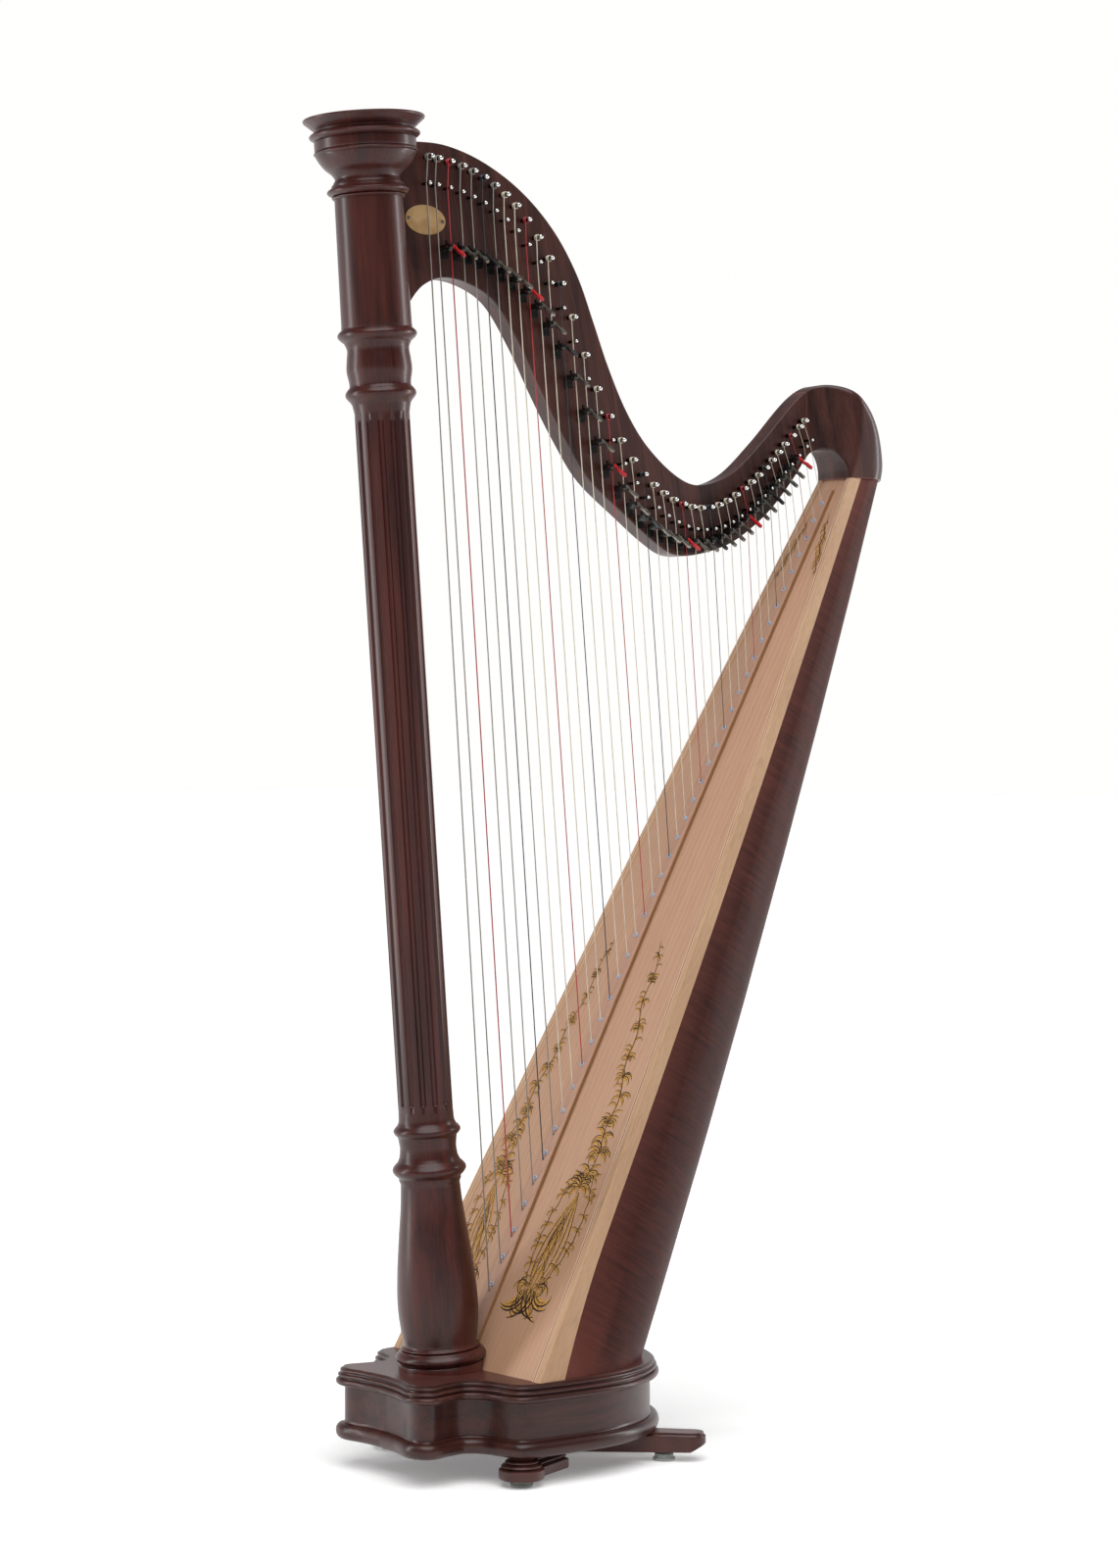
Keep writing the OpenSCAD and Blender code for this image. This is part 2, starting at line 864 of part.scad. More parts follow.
module nameplate() {
    w = 28;
    h = 17;
    at = [-20, 1437];
    oval = [for (a = [0 : 10 : 350]) [at[0] + w * cos(a), at[1] + h * sin(a)]];
    color([0.8, 0.64, 0.36]) {
        side_plate(oval, neck_near - 0.8, neck_near);
        for (side = [-1, 1])
            translate([at[0] + side * (w - 4.5), neck_near - 1.8, at[1]])
                rotate([-90, 0, 0])
                    cylinder(r = 1.8, h = 1, $fn = 16);
    }
}

// ---------- assembly ----------

module placed() {
    translate([-middle_x, 0, 0])
        children();
}

placed() {
    base_plinth();
    base_cap();
    base_foot_moulding();
    feet();
    foot_glides();
    column();
    capital();
    neck();
    shoulder_block();
    soundbox_shell();
    side_rails();
    soundboard();
    string_rib();
    inner_bars();
    shell_braces();
    string_grommets();
    wire_strings();
    plain_strings();
    red_strings();
    black_strings();
    tuning_pins();
    bridge_pins();
    lever_brackets();
    nameplate();
    for (i = LEVERS)
        lever(i);
}
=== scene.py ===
"""Looks of the lever harp: wood, strings, pins, levers and a pale studio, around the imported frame."""

import math
import random

import bmesh
import bpy
from mathutils import Matrix, Vector


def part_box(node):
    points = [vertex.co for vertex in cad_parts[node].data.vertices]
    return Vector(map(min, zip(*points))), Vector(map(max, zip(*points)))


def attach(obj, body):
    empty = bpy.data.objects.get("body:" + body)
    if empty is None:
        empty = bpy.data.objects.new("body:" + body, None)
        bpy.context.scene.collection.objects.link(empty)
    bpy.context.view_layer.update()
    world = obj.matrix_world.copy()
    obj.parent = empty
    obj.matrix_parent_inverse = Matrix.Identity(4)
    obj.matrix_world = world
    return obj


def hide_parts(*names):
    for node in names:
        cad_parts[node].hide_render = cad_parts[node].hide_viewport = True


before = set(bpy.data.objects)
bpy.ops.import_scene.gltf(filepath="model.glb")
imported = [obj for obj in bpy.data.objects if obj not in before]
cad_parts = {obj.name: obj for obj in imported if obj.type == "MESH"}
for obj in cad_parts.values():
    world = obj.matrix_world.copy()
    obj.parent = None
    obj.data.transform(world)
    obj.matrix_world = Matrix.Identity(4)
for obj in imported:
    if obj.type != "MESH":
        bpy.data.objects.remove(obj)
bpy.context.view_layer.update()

MM = 0.001
HARP = "frame"
STRING_COUNT = 40
WOUND_STRINGS = 7
# How far below its eyelet a wound string leaves the rib
WOUND_SHIFT = 8

# The harp's own lines, as in the CAD: millimetres, with X = 0 at the column's foot.
SHOULDER_BACK = 680
BASE_TOP = 116
COLUMN_LEAN = math.radians(4.33)
COLUMN_LEN = 1345
BOARD_ANGLE = math.radians(61.5)
BOARD_FOOT = 31
BOARD_LEN = 1201
HALF_W_LOW, HALF_W_TOP, SIDE_BOW = 146.5, 31.5, 9
RAIL_LIP = 2.5
RIB_FROM, RIB_TO = 0.02, 0.985
JOINT_Z = 1171
NECK_NEAR, NECK_FAR = 5, 31.5
NECK_END = 562

# The column's foot in the row frame
FOOT_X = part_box("shoulder_block")[1].x / MM - SHOULDER_BACK


# ---------- frames and curves ----------

def lerp(a, b, t):
    return a + (b - a) * t


def place(x, y, z):
    """A point of the harp's own lines, in metres in the row frame."""
    return Vector(((x + FOOT_X) * MM, y * MM, z * MM))


def on_board(u, y, z=0.0):
    """A point u up the soundboard, y to the right and z out of the rails' face."""
    across, up = math.cos(BOARD_ANGLE), math.sin(BOARD_ANGLE)
    return place(BOARD_FOOT + u * across - z * up, y, BASE_TOP + u * up + z * across)


def on_column(r, angle, s):
    """A point of the leaning column, s up from its foot."""
    x, y = r * math.cos(angle), r * math.sin(angle)
    lean, lift = math.sin(COLUMN_LEAN), math.cos(COLUMN_LEAN)
    return place(x * lift - s * lean, y, BASE_TOP - 2 + x * lean + s * lift)


def half_w(t):
    """Half the soundbox's width, a share t of the way up."""
    return lerp(HALF_W_LOW, HALF_W_TOP, t) + 4 * SIDE_BOW * t * (1 - t)


def rib_height(t):
    """How far the rib stands out of the rails' face."""
    return lerp(6, 2, t) + 24 * t * (1 - t)


def board_height(u, y):
    """The bellied board's face: level with the rails' lip at its sides, highest at the rib."""
    t = u / BOARD_LEN
    share = min(abs(y) / (half_w(t) - 8), 1)
    return lerp(rib_height(t) - 3.8, -RAIL_LIP, share ** 1.8)


def smooth_line(points, steps):
    """A smooth curve through the points, as tuples of the same size."""
    out = []
    last = len(points) - 1
    for k in range(last):
        nearby = points[max(k - 1, 0)], points[k], points[k + 1], points[min(k + 2, last)]
        for j in range(steps):
            t = j / steps
            out.append(tuple(
                b + 0.5 * t * (c - a + t * (2 * a - 5 * b + 4 * c - d + t * (3 * b - a - 3 * c + d)))
                for a, b, c, d in zip(*nearby)))
    out.append(tuple(points[-1]))
    return out


def sideways(a, b):
    """The direction to the right of the way from a to b."""
    x, y = b[0] - a[0], b[1] - a[1]
    size = math.hypot(x, y)
    return y / size, -x / size


def grown(points, d):
    """A closed outline moved outwards by d, for points that run anticlockwise."""
    out = []
    for k, (px, py) in enumerate(points):
        x, y = sideways(points[k - 1], points[(k + 1) % len(points)])
        out.append((px + d * x, py + d * y))
    return out


def arc(x, z, wide, high, start, end, steps):
    """Points of an ellipse round (x, z), between two angles in degrees."""
    angles = [math.radians(lerp(start, end, k / steps)) for k in range(steps + 1)]
    return [(x + wide * math.cos(a), z + high * math.sin(a)) for a in angles]


def quarter(r, steps):
    """Points of a rounded corner, as (from the edge, drawn in)."""
    return arc(r, r, r, r, 180, 270, steps)


def bead(s0, s1, r, out, steps=8):
    """A half-round swelling of a turned or moulded edge, as (outwards, up)."""
    return [(r + out * math.sin(math.pi * k / steps), lerp(s0, s1, k / steps)) for k in range(steps + 1)]


def hoop(middle, r, across, up, sides):
    """Points of a circle in the plane of two directions."""
    angles = [math.tau * k / sides for k in range(sides)]
    return [middle + r * (math.cos(a) * across + math.sin(a) * up) for a in angles]


# ---------- meshes ----------

def new_object(name, data):
    thing = bpy.data.objects.new(name, data)
    bpy.context.collection.objects.link(thing)
    return thing


def mesh_object(name, bm, material):
    """Turns a bmesh into an object."""
    mesh = bpy.data.meshes.new(name)
    bm.to_mesh(mesh)
    bm.free()
    mesh.materials.append(material)
    return new_object(name, mesh)


def even_shading(piece):
    """Keeps large faces flat, so that only the narrow ones between them bend the light."""
    even = piece.modifiers.new("even_shading", "WEIGHTED_NORMAL")
    even.keep_sharp = True


def finish_piece(name, bm, material, body=HARP, shade_smooth=True, sharp=35, replaces=()):
    """Turns a bmesh into a piece that rides on a body. Edges turned by more than sharp degrees stay crisp."""
    bmesh.ops.recalc_face_normals(bm, faces=bm.faces)
    for face in bm.faces:
        face.smooth = shade_smooth
    for edge in bm.edges:
        if len(edge.link_faces) == 2:
            edge.smooth = edge.calc_face_angle() < math.radians(sharp)
    piece = mesh_object(name, bm, material)
    if shade_smooth:
        even_shading(piece)
    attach(piece, body)
    if replaces:
        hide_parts(*replaces)


def add_rings(bm, rings, caps=True):
    """Joins closed rings of points into one skin, with flat ends."""
    rows = [[bm.verts.new(p) for p in ring] for ring in rings]
    count = len(rows[0])
    for low, high in zip(rows, rows[1:]):
        for k in range(count):
            j = (k + 1) % count
            bm.faces.new((low[k], low[j], high[j], high[k]))
    if caps:
        for row in (rows[0], rows[-1]):
            cap = bm.faces.new(row)
            # Without its normal, the triangles of a hollow outline could lie outside it
            cap.normal_update()
            bmesh.ops.triangulate(bm, faces=[cap])


def trim(bm, z, keep_above):
    """Cuts the skin off at a level plane and closes the cut."""
    cut = bmesh.ops.bisect_plane(
        bm, geom=list(bm.verts) + list(bm.edges) + list(bm.faces), dist=1e-6,
        plane_co=(0, 0, z), plane_no=(0, 0, 1), clear_inner=keep_above, clear_outer=not keep_above)
    rim = [e for e in cut["geom_cut"] if isinstance(e, bmesh.types.BMEdge)]
    bmesh.ops.holes_fill(bm, edges=rim, sides=0)


def add_tube(bm, points, radius):
    """A round tube along a list of points."""
    rings = []
    up = Vector((0, 1, 0))
    for k, p in enumerate(points):
        ahead = points[min(k + 1, len(points) - 1)] - points[max(k - 1, 0)]
        ahead.normalize()
        if abs(ahead.dot(up)) > 0.95:
            up = Vector((1, 0, 0))
        side = ahead.cross(up).normalized()
        up = side.cross(ahead).normalized()
        rings.append(hoop(p, radius, side, up, 8))
    add_rings(bm, rings)


def middles(name):
    """The middles of a CAD node's separate solids, ordered along X."""
    bm = bmesh.new()
    bm.from_mesh(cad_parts[name].data)
    bmesh.ops.remove_doubles(bm, verts=bm.verts, dist=1e-6)
    seen = set()
    found = []
    for start in bm.verts:
        if start in seen:
            continue
        stack, points = [start], []
        seen.add(start)
        while stack:
            vert = stack.pop()
            points.append(vert.co.copy())
            for edge in vert.link_edges:
                other = edge.other_vert(vert)
                if other not in seen:
                    seen.add(other)
                    stack.append(other)
        low, high = (Vector(pick(p[k] for p in points) for k in range(3)) for pick in (min, max))
        found.append((low + high) / 2)
    bm.free()
    return sorted(found, key=lambda middle: middle.x)


# ---------- materials ----------

def add_node(tree, kind, inputs, **settings):
    """A shader node, its inputs fed by plain values or by other nodes."""
    node = tree.nodes.new("ShaderNode" + kind)
    for key, value in settings.items():
        setattr(node, key, value)
    for socket, value in inputs.items():
        if isinstance(value, bpy.types.NodeSocket):
            tree.links.new(value, node.inputs[socket])
        else:
            node.inputs[socket].default_value = value
    return node


def tinted(tone, by, add=0.0):
    """A colour made darker or lighter."""
    return tuple(min(1, by * c + add) for c in tone)


class Shader:
    """Builds one procedural material, node by node."""

    def __init__(self, name, roughness=0.5, metallic=0.0, coat=0.0, coat_roughness=0.1, specular=0.5):
        self.material = bpy.data.materials.new(name)
        self.material.use_nodes = True
        self.tree = self.material.node_tree
        self.shader = self.tree.nodes["Principled BSDF"]
        for socket, value in (
                ("Roughness", roughness), ("Metallic", metallic), ("Coat Weight", coat),
                ("Coat Roughness", coat_roughness), ("Specular IOR Level", specular)):
            self.set(socket, value)

    def set(self, socket, value):
        self.shader.inputs[socket].default_value = value

    def node(self, kind, inputs, **settings):
        return add_node(self.tree, kind, inputs, **settings)

    def coords(self, turn=(0, 0, 0), stretch=(1, 1, 1)):
        """Row-frame coordinates, turned and then stretched."""
        here = self.node("TexCoord", {}).outputs["Object"]
        turned = self.node("Mapping", {"Rotation": turn, "Vector": here}).outputs["Vector"]
        return self.node("Mapping", {"Scale": stretch, "Vector": turned}).outputs["Vector"]

    def noise(self, vector, scale, detail=4.0, rough=0.55, distortion=0.0):
        return self.node("TexNoise", {
            "Vector": vector, "Scale": scale, "Detail": detail, "Roughness": rough,
            "Distortion": distortion}).outputs["Fac"]

    def wave(self, vector, scale, distortion, direction, detail_scale=1.0):
        return self.node("TexWave", {
            "Vector": vector, "Scale": scale, "Distortion": distortion, "Detail": 3.0,
            "Detail Scale": detail_scale}, bands_direction=direction).outputs["Fac"]

    def ramp(self, value, *stops):
        """Colours or greys by value: (place, colour) pairs."""
        node = self.node("ValToRGB", {"Fac": value})
        elements = node.color_ramp.elements
        for element, (at, colour) in zip(elements, stops):
            element.position = at
            element.color = (*colour, 1) if isinstance(colour, tuple) else (colour, colour, colour, 1)
        return node.outputs["Color"]

    def mix(self, a, b, share, kind="MIX"):
        node = self.node("Mix", {"Factor": share}, data_type="RGBA", blend_type=kind)
        colours = [socket for socket in node.inputs if socket.type == "RGBA"]
        for socket, value in zip(colours, (a, b)):
            if isinstance(value, bpy.types.NodeSocket):
                self.tree.links.new(value, socket)
            else:
                socket.default_value = (*value, 1)
        return [socket for socket in node.outputs if socket.type == "RGBA"][0]

    def maths(self, kind, a, b):
        return self.node("Math", {0: a, 1: b}, operation=kind).outputs[0]

    def range(self, value, low, high):
        return self.node("MapRange", {"Value": value, "To Min": low, "To Max": high}).outputs["Result"]

    def edge_wear(self):
        """Above 0.5 on convex edges, where lacquer and paint are rubbed."""
        return self.node("NewGeometry", {}).outputs["Pointiness"]

    def part(self, vector, axis):
        return self.node("SeparateXYZ", {0: vector}).outputs[axis]

    def bump(self, height, strength, distance):
        node = self.node("Bump", {"Strength": strength, "Distance": distance, "Height": height})
        self.tree.links.new(node.outputs["Normal"], self.shader.inputs["Normal"])

    def colour(self, socket):
        self.tree.links.new(socket, self.shader.inputs["Base Color"])

    def rough(self, socket):
        self.tree.links.new(socket, self.shader.inputs["Roughness"])


def stained_wood(name, dark, light, turn, roughness=(0.34, 0.48), coat=0.3, specular=0.3, around=False):
    """Stained, satin-lacquered hardwood. The grain runs along Z after the turn, or around it."""
    s = Shader(name, coat=coat, coat_roughness=0.2, specular=specular)
    fine = s.noise(s.coords(turn, (24, 24, 620) if around else (420, 420, 11)), 1.0, 5, 0.6)
    figure = s.noise(s.coords(turn, (16, 16, 190) if around else (55, 55, 3.2)), 1.0, 4, 0.55, 0.6)
    broad = s.noise(s.coords(turn, (4, 4, 1.4)), 1.0, 3)
    streaks = s.maths("ADD", s.maths("MULTIPLY", fine, 0.45), s.maths("MULTIPLY", figure, 0.75))
    base = s.ramp(streaks, (0.44, dark), (0.78, light))
    shade = s.ramp(broad, (0.3, (0.72, 0.70, 0.70)), (0.7, (1.12, 1.08, 1.05)))
    pores = s.noise(s.coords(turn, (1500, 1500, 60)), 1.0, 2, 0.7)
    pore_mask = s.ramp(pores, (0.34, 0.55), (0.46, 1.0))
    colour = s.mix(base, shade, 1.0, "MULTIPLY")
    colour = s.mix(colour, pore_mask, 0.6, "MULTIPLY")
    worn = s.ramp(s.edge_wear(), (0.53, 0.0), (0.62, 0.5))
    colour = s.mix(colour, tinted(light, 2.4, 0.02), worn)
    s.colour(colour)
    s.rough(s.range(figure, *roughness))
    s.bump(s.mix(streaks, pore_mask, 0.5), 0.16, 0.0003)
    return s.material


def pale_wood(name, dark, light, fleck=0.5, ring=40, warm=None):
    """Clear-lacquered pale wood, its fine grain along the board. It can be warmer low down."""
    s = Shader(name, coat=0.12, coat_roughness=0.3, specular=0.4)
    rings = s.wave(s.coords(ALONG_BOARD, (ring, ring, 0.9)), 1.0, 5.0, "Y", 0.6)
    fine = s.noise(s.coords(ALONG_BOARD, (700, 700, 14)), 1.0, 4, 0.6)
    broad = s.noise(s.coords(ALONG_BOARD, (7, 7, 1.2)), 1.0, 3)
    grain = s.maths("ADD", s.maths("MULTIPLY", rings, 0.16), s.maths("MULTIPLY", fine, 0.8))
    base = s.ramp(grain, (0.15, dark), (0.8, light))
    flecks = s.noise(s.coords(ALONG_BOARD, (260, 260, 55)), 1.0, 2, 0.5)
    fleck_mask = s.ramp(flecks, (0.56, 1.0), (0.72, 0.86))
    colour = s.mix(base, fleck_mask, fleck, "MULTIPLY")
    tint = s.ramp(broad, (0.3, (0.93, 0.91, 0.88)), (0.7, (1.03, 1.02, 1.0)))
    colour = s.mix(colour, tint, 1.0, "MULTIPLY")
    if warm:
        height = s.part(s.coords(), "Z")
        low = s.ramp(height, (0.1, 1.0), (0.75, 0.0))
        colour = s.mix(colour, warm, s.maths("MULTIPLY", low, 0.45))
    s.colour(colour)
    s.rough(s.range(fine, 0.36, 0.5))
    s.bump(grain, 0.1, 0.0002)
    return s.material


def metal(name, dark, light, roughness, scale=90, metallic=1.0, coat=0.0, stem_from=None):
    """Metal with fine scratches and dull patches, blackened from stem_from back into the neck."""
    s = Shader(name, metallic=metallic, coat=coat, coat_roughness=0.15)
    patches = s.noise(s.coords(), scale, 4)
    scratches = s.noise(s.coords((0.4, 0.2, 0.3), (900, 900, 60)), 1.0, 2)
    tone = s.ramp(patches, (0.35, dark), (0.65, light))
    if stem_from is not None:
        depth = s.part(s.coords(), "Y")
        behind = s.maths("GREATER_THAN", depth, stem_from)
        in_front = s.maths("LESS_THAN", depth, 20 * MM)
        tone = s.mix(tone, (0.035, 0.032, 0.03), s.maths("MULTIPLY", behind, in_front))
    s.colour(tone)
    s.rough(s.range(s.mix(patches, scratches, 0.5), *roughness))
    s.bump(scratches, 0.08, 0.0001)
    return s.material


def painted(name, tone, roughness=(0.28, 0.42)):
    """Paint on small metal parts: slightly uneven, rubbed along the edges."""
    s = Shader(name, coat=0.3, coat_roughness=0.15)
    uneven = s.noise(s.coords(), 240, 4)
    base = s.ramp(uneven, (0.3, tinted(tone, 0.75)), (0.7, tinted(tone, 1.2)))
    worn = s.ramp(s.edge_wear(), (0.66, 0.0), (0.9, 0.3))
    s.colour(s.mix(base, tinted(tone, 0.8, 0.12), worn))
    s.rough(s.range(uneven, *roughness))
    s.bump(uneven, 0.12, 0.0001)
    return s.material


def string_material(name, tone, wound=False):
    """Gut or nylon, or fine wire wound round a core."""
    s = Shader(name, metallic=0.7 if wound else 0.0, coat=0.0 if wound else 0.3, coat_roughness=0.25)
    mottled = s.noise(s.coords((0, 0, 0), (900, 900, 30)), 1.0, 3)
    s.colour(s.ramp(mottled, (0.3, tinted(tone, 0.78)), (0.7, tinted(tone, 1.1))))
    s.rough(s.range(mottled, 0.32, 0.5))
    if wound:
        s.bump(s.wave(s.coords(), 1400, 0.0, "Z"), 0.6, 0.0001)
    else:
        s.bump(mottled, 0.1, 0.0001)
    return s.material


def plastic(name, tone, roughness):
    """Moulded plastic, or the painted shade of a dark hollow; slightly cloudy."""
    s = Shader(name)
    soft = s.noise(s.coords(), 160, 5)
    s.colour(s.ramp(soft, (0.3, tinted(tone, 0.85)), (0.7, tinted(tone, 1.08))))
    s.rough(s.range(soft, *roughness))
    s.bump(soft, 0.15, 0.0001)
    return s.material


def inked(name, dark, light):
    """Printed ink or gold leaf of the board's decoration."""
    s = Shader(name, roughness=0.4, specular=0.15)
    mottled = s.noise(s.coords(), 600, 5)
    s.colour(s.ramp(mottled, (0.35, dark), (0.65, light)))
    s.rough(s.range(mottled, 0.34, 0.55))
    s.bump(mottled, 0.1, 0.0001)
    return s.material


ALONG_X = (0, math.radians(-90), 0)
ALONG_BOARD = (0, -(math.pi / 2 - BOARD_ANGLE), 0)
ALONG_COLUMN = (0, COLUMN_LEAN, 0)
NECK_VEINS = (0, math.radians(12), 0)

column_wood = stained_wood("column_mahogany", (0.030, 0.0048, 0.0036), (0.110, 0.021, 0.014), ALONG_COLUMN)
base_wood = stained_wood("base_mahogany", (0.022, 0.0058, 0.0046), (0.076, 0.021, 0.015), ALONG_X)
neck_wood = stained_wood("neck_mahogany", (0.022, 0.0066, 0.0050), (0.120, 0.036, 0.026), NECK_VEINS)
shell_wood = stained_wood(
    "shell_mahogany", (0.036, 0.0085, 0.0062), (0.094, 0.023, 0.016), ALONG_BOARD, (0.42, 0.55),
    coat=0.0, specular=0.1, around=True)
board_wood = pale_wood("board_spruce", (0.44, 0.245, 0.155), (0.6, 0.37, 0.25), 0.35, warm=(0.56, 0.32, 0.19))
rail_wood = pale_wood("rail_maple", (0.48, 0.275, 0.155), (0.64, 0.41, 0.25), 0.9, ring=15)
# The rib's own pinkish tone, made a little darker than the board as painted shade.
rib_wood_with_shade = pale_wood("rib_maple_with_shade", (0.40, 0.225, 0.155), (0.54, 0.32, 0.23), 0.7, ring=20)
# Brown wood over the rib's side faces: painted shade for the shadow on them.
painted_shade_wood = pale_wood("rib_painted_shade_wood", (0.24, 0.115, 0.045), (0.38, 0.20, 0.095), 0.7, ring=20)
inner_wood = pale_wood("inner_wood", (0.24, 0.13, 0.07), (0.40, 0.24, 0.14), 0.5)
# Pale wood for the rails' small beads: a painted highlight where light catches them.
bead_highlight_wood = pale_wood("bead_painted_highlight", (0.62, 0.42, 0.31), (0.78, 0.57, 0.44), 0.4)
inlay_wood = stained_wood("inlay_walnut", (0.10, 0.04, 0.022), (0.24, 0.11, 0.06), ALONG_BOARD)
tuning_chrome, bridge_chrome = (
    metal(name, (0.62, 0.62, 0.60), (0.80, 0.79, 0.77), (0.12, 0.26), stem_from=behind * MM)
    for name, behind in (("tuning_pin_chrome", -8.2), ("bridge_pin_chrome", -8.4)))
plate_brass = metal("plate_brass", (0.46, 0.27, 0.11), (0.62, 0.40, 0.19), (0.42, 0.56), 60, 0.6)
screw_steel = metal("screw_steel", (0.06, 0.055, 0.05), (0.16, 0.15, 0.14), (0.3, 0.5))
lever_grey = metal("lever_bronze", (0.15, 0.14, 0.12), (0.34, 0.31, 0.26), (0.24, 0.4), 120, 0.85, 0.2)
lever_red = painted("lever_red", (0.50, 0.010, 0.016))
lever_black = painted("lever_black", (0.010, 0.010, 0.011))
bracket_black = painted("bracket_black", (0.010, 0.0095, 0.009), (0.16, 0.3))
STRING_LOOKS = {
    "wire": string_material("string_wire", (0.34, 0.31, 0.27), wound=True),
    "plain": string_material("string_gut", (0.78, 0.70, 0.56)),
    "red": string_material("string_red", (0.46, 0.02, 0.03)),
    "black": string_material("string_black", (0.018, 0.018, 0.024)),
}
grommet_plastic = plastic("grommet_plastic", (0.40, 0.44, 0.54), (0.22, 0.36))
# Dark discs for the string holes: painted shade for their inside.
hole_painted_shade = plastic("hole_painted_shade", (0.03, 0.014, 0.009), (0.6, 0.8))
glide_plastic = plastic("glide_plastic", (0.42, 0.45, 0.42), (0.4, 0.6))
ink = inked("decal_ink", (0.016, 0.009, 0.008), (0.055, 0.035, 0.028))
gold = inked("decal_gold", (0.44, 0.20, 0.038), (0.72, 0.41, 0.13))


# ---------- column and capital ----------

SHAFT_R = 31.3
FLUTES = 14
# Where the flutes start and end, up the column
FLUTE_FROM, FLUTE_TO = 308, 1092
FLUTE_HALF = 3.4

COLUMN_LINE = (
    [(49.6, 0), (49.6, 9.6), (49.0, 10.6), (48.2, 11.2)]
    + bead(11.6, 24.6, 47.6, 4.9)
    + [(46.6, 25), (46.2, 26.2)]
    + bead(26.4, 30.4, 43.6, 1.9, 5)
    + [(42.6, 31)]
    + smooth_line([(42, 33), (45, 55), (46.4, 80), (44.5, 115), (40.5, 153), (36, 190), (34, 218)], 6)
    + [(35.6, 221), (35.8, 224)]
    + bead(225, 243, 36, 6.4)
    + [(35.6, 244), (34.2, 247)]
    + smooth_line([(33.5, 249), (32.4, 259), (33.5, 269)], 4)
    + bead(272, 285, 34, 4.6)
    + smooth_line([(33.4, 286.5), (32, 290), (SHAFT_R + 0.2, 300)], 3)
    + [(SHAFT_R, lerp(302, 1098, k / 120)) for k in range(121)]
    + smooth_line([(SHAFT_R + 0.2, 1100), (32.4, 1105), (33.5, 1110)], 3)
    + bead(1113, 1129, 35.5, 5)
    + smooth_line([(35, 1131), (35.4, 1136), (37.4, 1148), (36.6, 1160), (35.4, 1172), (38.5, 1180)], 4)
    + bead(1181, 1195, 40, 5.4)
    + [(40.6, 1196), (40.2, 1199), (38.9, COLUMN_LEN - 3), (38.9, COLUMN_LEN + 6)]
)

CAPITAL_LINE = (
    [(38, -4), (40, -3.4)]
    + bead(-3, 0.5, 40, 1.8)
    + bead(0.5, 9.5, 42, 5)
    + [(41.5, 10), (41.2, 12.5), (39.6, 13.2), (39, 15.2)]
    + smooth_line([(37.8, 17), (37, 20), (41, 26), (48, 32), (54, 40), (57, 45.5)], 5)
    + bead(46.5, 51, 57, 2.2)
    + [(57.8, 51.6), (58, 53), (58, 61.6), (57.6, 62.6)]
    + bead(63, 73, 57.2, 6.1)
    + [(56.8, 73.6), (57, 74.6), (61.2, 78.2), (65.4, 81.8), (68.8, 84.6)]
    + bead(85, 87.4, 68.8, 0.7, 4)
    + [(66, 87.4)]
)


def flute_depth(angle, s):
    """How far the shaft is cut in by its round-ended flutes."""
    pitch = math.tau / FLUTES
    off = abs((angle + pitch / 2) % pitch - pitch / 2) * SHAFT_R
    end = max(FLUTE_FROM + FLUTE_HALF - s, s - FLUTE_TO + FLUTE_HALF, 0)
    reach = FLUTE_HALF ** 2 - off ** 2 - end ** 2
    return 0.85 * math.sqrt(reach) if reach > 0 else 0


def add_turned(bm, line, lift, steps, fluted=False):
    """A turned part from its outline, with the flutes cut in where it has them."""
    angles = [math.tau * k / steps for k in range(steps)]
    add_rings(bm, [
        [on_column(r - (flute_depth(a, s) if fluted else 0), a, s + lift) for a in angles]
        for r, s in line])


def make_column():
    bm = bmesh.new()
    # More rings where the flutes have round ends
    ends = [FLUTE_FROM + FLUTE_HALF * k / 4 for k in range(1, 5)]
    ends += [FLUTE_TO - FLUTE_HALF * k / 4 for k in range(1, 5)]
    line = sorted(COLUMN_LINE + [(SHAFT_R, s) for s in ends], key=lambda p: p[1])
    add_turned(bm, line, 0, FLUTES * 16, True)
    trim(bm, BASE_TOP * MM, True)
    finish_piece("column_wood", bm, column_wood, sharp=50, replaces=("column",))


def make_capital():
    bm = bmesh.new()
    add_turned(bm, CAPITAL_LINE, COLUMN_LEN, 144)
    finish_piece("capital_wood", bm, column_wood, sharp=45, replaces=("capital",))


# ---------- base and feet ----------

PLINTH_FRONT = [
    (-77, 0), (-80, 34), (-86, 66), (-76, 84), (-52, 80), (-26, 78), (-6, 96), (6, 132), (19, 143),
    (60, 147), (102, 148)]
BASE_MID, BASE_BACK, BASE_HALF_W = 102, 167, 148
BASE_FOOT, MOULDING_TOP, PLINTH_TOP = 34, 51.5, 94.5

# Edge of the base as (outwards, height)
BASE_EDGE = (
    [(3.5, 34)]
    + arc(4.5, 42.5, 6, 8.5, -90, 90, 10)
    + [(3.0, 51.4), (1.2, 51.8), (0.2, 53), (0, 55), (0, 92), (0.4, 94)]
    + [(2.6, 95), (4.6, 95.6)]
    + arc(7.0, 99.6, 3.4, 3.8, -90, 90, 8)
    + [(5.4, 103.6), (5.2, 104.6)]
    + arc(5.8, 106.8, 2.2, 2.1, -90, 90, 6)
    + [(4.2, 109.2), (3.9, 110.2)]
    + arc(3.4, 112.3, 2.0, 1.9, -90, 90, 6)
    + [(1.8, 114.8), (1.2, 115.2), (1.1, 116)]
)


def base_outline():
    """The plinth seen from above, anticlockwise."""
    right = smooth_line(PLINTH_FRONT, 8) + arc(BASE_MID, 0, BASE_BACK, BASE_HALF_W, 85.5, 0, 19)
    left = [(x, -y) for x, y in reversed(right[1:-1])]
    return list(reversed(right + left))


